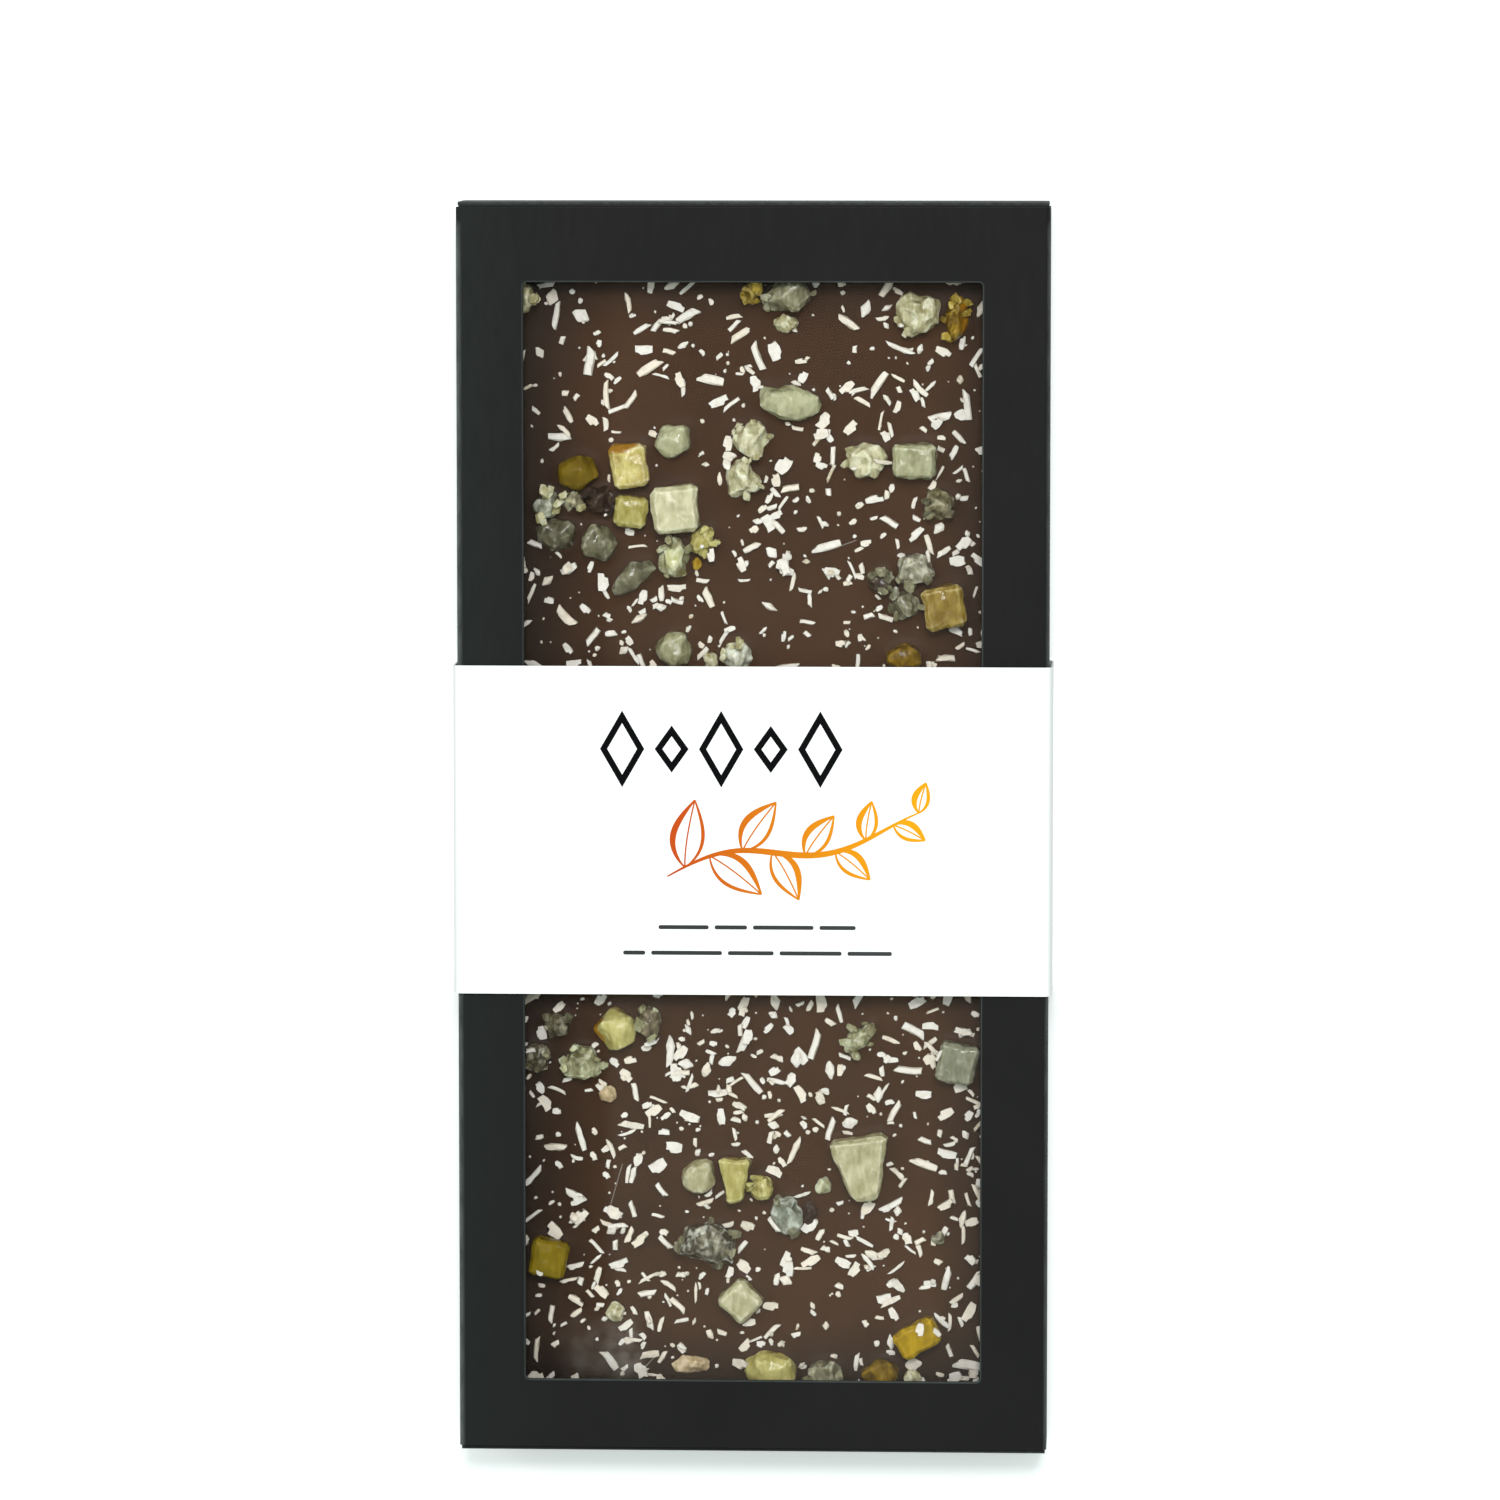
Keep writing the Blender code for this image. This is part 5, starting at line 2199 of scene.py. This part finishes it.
    def lay(self, flakes: Sequence[Flake], shapes: Forms, name: str) -> Piece:
        """Lay flakes of one kind on the chocolate and join them in one mesh.

        Args:
            flakes: The flakes.
            shapes: The forms that their kind comes in.
            name: The new object's name.

        Returns:
            The joined mesh.
        """
        points, faces, tones = [], [], []
        count = 0
        for flake in flakes:
            form, form_faces = self.draw.choice(shapes)
            bend = self.draw.uniform(-self.most_bend, self.most_bend)
            tone = self.draw.random()
            laid = self.laid(flake, form, bend)
            if laid is None:
                continue
            points.append(laid)
            faces += [tuple(count + corner for corner in face) for face in form_faces]
            tones.append(np.full(len(laid), tone))
            count += len(laid)
        mesh = bpy.data.meshes.new(name)
        mesh.from_pydata(np.concatenate(points).tolist(), [], faces)
        mark(mesh, "tone", np.concatenate(tones))
        piece = bpy.data.objects.new(name, mesh)
        bpy.context.scene.collection.objects.link(piece)
        smooth(piece, self.smooth_angle)
        return piece

    def laid(self, flake: Flake, form: np.ndarray, bend: float) -> np.ndarray | None:
        """Rest one flake on what lies below it.

        Args:
            flake: The flake.
            form: Its form in a box of size one.
            bend: How far its middle bows aside, as a share of its length.

        Returns:
            Its points in place, or None if it would stand too high.
        """
        run = np.array((math.cos(flake.turn), math.sin(flake.turn)))
        reach = self.rest_share * flake.length
        spots = [np.array((flake.x, flake.y)) + step * reach * run for step in (-1, 0, 1)]
        first, middle, last = (self.field.at(*spot) for spot in spots)
        tilt = math.atan2(last - first, 2 * reach)
        base = max(middle, (first + last) / 2)
        on_peel = base > self.tablet.top + self.peel_height
        refusal = self.peel_refusal if on_peel else self.stack_refusal
        stacked = base > self.tablet.top + self.stack_height and self.draw.random() < refusal
        if not flake.fixed and (stacked or abs(tilt) > self.most_tilt):
            return None
        tilt = min(max(tilt, -self.most_tilt), self.most_tilt)
        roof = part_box("window_film")[0].z - self.film_gap
        sink = self.packed_sink * flake.height
        lift = base - sink + flake.height / 2
        if max(first, middle, last) + flake.height > roof:
            return None
        points = form * np.array((flake.length, flake.width, flake.height))
        points[:, 1] += bend * flake.length * (0.25 - form[:, 0] ** 2)
        turn = Matrix.Rotation(flake.turn, 3, "Z") @ Matrix.Rotation(-tilt, 3, "Y")
        points = points @ np.array(turn).T + np.array((flake.x, flake.y, lift))
        for spot, height in zip(spots, (first, middle, last)):
            self.field.raise_to(*spot, flake.width / 2, max(height, base) - sink + flake.height)
        return points


@dataclass
class PeelCrumbs:
    """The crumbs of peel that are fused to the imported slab, each with its own colour."""

    peel: CandiedPeel
    tablet: Tablet
    sink: float = 0.4 * MM
    swell: float = 1.12
    least_size: float = 1.2 * MM
    relief: Relief = Relief(1.0 * MM, 1.2 * MM, 56, 0, 0.10 * MM, 0.12 * MM)
    tan: PeelFinish = TAN_CRUMB
    tan_numbers: tuple[int, ...] = (4, 9)

    def build(self, islands: Sequence[np.ndarray]) -> list[Piece]:
        """Model the crumbs and dress them.

        Args:
            islands: For each crumb the points above the chocolate.

        Returns:
            The crumbs, from the carton's top end down.
        """
        order = sorted(islands, key=lambda points: -points[:, 1].mean())
        kinds = self.peel.crumb_kinds
        return [self.build_one(points, kinds[i % len(kinds)], i + 1) for i, points in enumerate(order)]

    def build_one(self, points: np.ndarray, kind: PeelKind, number: int) -> Piece:
        """Model one crumb over its points.

        Args:
            points: The points above the chocolate.
            kind: The look of its peel.
            number: Its number, from 1.

        Returns:
            The dressed crumb.
        """
        low, high = points.min(0), points.max(0)
        middle = (low + high) / 2
        size = (high - low) * self.swell
        top, bottom = high[2], self.tablet.top - self.sink
        place = (middle[0], middle[1], (top + bottom) / 2)
        crumb = added(bpy.ops.mesh.primitive_ico_sphere_add, subdivisions=4, radius=0.5, location=place)
        sides = [max(side, self.least_size) for side in size[:2]]
        crumb.scale = (*sides, top - bottom)
        settled(crumb, f"peel_crumb_{number:02d}")
        self.peel.break_up(crumb, self.relief)
        self.peel.mark_looks(crumb, random.Random(number).random())
        mark(crumb.data, "ragged", np.ones(len(crumb.data.vertices)))
        smooth(crumb, ANY_ANGLE)
        tan = number in self.tan_numbers
        material = self.tan.material("tan candied peel") if tan else self.peel.materials[kind]
        return dress(crumb, "dark_chocolate", material)


@dataclass
class Studio:
    """A pale floor, soft lamps and the camera over the pack."""

    floor_radius: float = 2.5
    floor_drop: float = 0.02 * MM
    world_colour: Colour = display(240, 255, 250)
    world_strength: float = 0.66
    key_place: Vector = field(default_factory=lambda: Vector((0.10, 0.62, 1.45)))
    key_size: float = 0.42
    key_power: float = 14.5
    fill_place: Vector = field(default_factory=lambda: Vector((-1.0, 0.25, 1.0)))
    fill_size: float = 0.5
    fill_power: float = 3.5
    camera_place: Vector = field(default_factory=lambda: Vector((46.6, 105.1, 1019.9)) * MM)
    camera_aim: Vector = field(default_factory=lambda: Vector((-0.33, 11.17, 12.35)) * MM)
    lens: float = 180.0
    sensor: float = 36.0

    def build(self) -> None:
        """Set up the floor, the light and the camera."""
        self.lay_floor()
        self.light_up()
        self.point_camera()
        bpy.context.scene.view_settings.view_transform = "Standard"
        LOG.info("studio: floor, lamps and camera are set")

    def lay_floor(self) -> None:
        """Add the floor under the pack."""
        floor = added(
            bpy.ops.mesh.primitive_circle_add,
            vertices=96,
            radius=self.floor_radius,
            fill_type="NGON",
            location=(0, 0, CAD_BOX[0].z - self.floor_drop),
        )
        settled(floor, "floor")
        floor.data.materials.append(FloorFinish().material())

    def light_up(self) -> None:
        """Light the scene from all round, from beyond the top end and from the left."""
        world = bpy.data.worlds.new("soft light")
        world.use_nodes = True
        back = world.node_tree.nodes["Background"]
        back.inputs["Color"].default_value = self.world_colour
        back.inputs["Strength"].default_value = self.world_strength
        bpy.context.scene.world = world
        self.add_lamp("key_lamp", self.key_place, self.key_size, self.key_power)
        self.add_lamp("fill_lamp", self.fill_place, self.fill_size, self.fill_power)

    def add_lamp(self, name: str, place: Vector, size: float, power: float) -> None:
        """Add a square soft lamp that faces the pack.

        Args:
            name: The lamp's name.
            place: Where it hangs.
            size: Its side.
            power: Its power in watts.
        """
        lamp = added(bpy.ops.object.light_add, type="AREA", location=place)
        lamp.name = name
        lamp.rotation_euler = (-place).to_track_quat("-Z", "Y").to_euler()
        lamp.data.size = size
        lamp.data.energy = power

    def point_camera(self) -> None:
        """Hang the camera over the pack and aim it."""
        camera = added(bpy.ops.object.camera_add, location=self.camera_place)
        back = (self.camera_place - self.camera_aim).normalized()
        right = Vector((0, 1, 0)).cross(back).normalized()
        turn = Matrix((right, back.cross(right), back)).transposed()
        camera.rotation_euler = turn.to_euler()
        camera.data.lens = self.lens
        camera.data.sensor_width = self.sensor
        bpy.context.scene.camera = camera


def main() -> None:
    """Build the pack's pieces in order, from the outside in, and then the studio."""
    logging.basicConfig(level=logging.INFO, format="%(message)s")
    Carton().build()
    WindowFilm().build()
    PaperBand().build()
    candied = CandiedPeel()
    peel = candied.build()
    tablet = Tablet()
    tablet.build(peel)
    coconut = GratedCoconut(tablet)
    coconut.build(peel, candied.lumps)
    PeelCrumbs(candied, tablet).build(coconut.peel_crumbs)
    Studio().build()


if __name__ == "__main__":
    main()
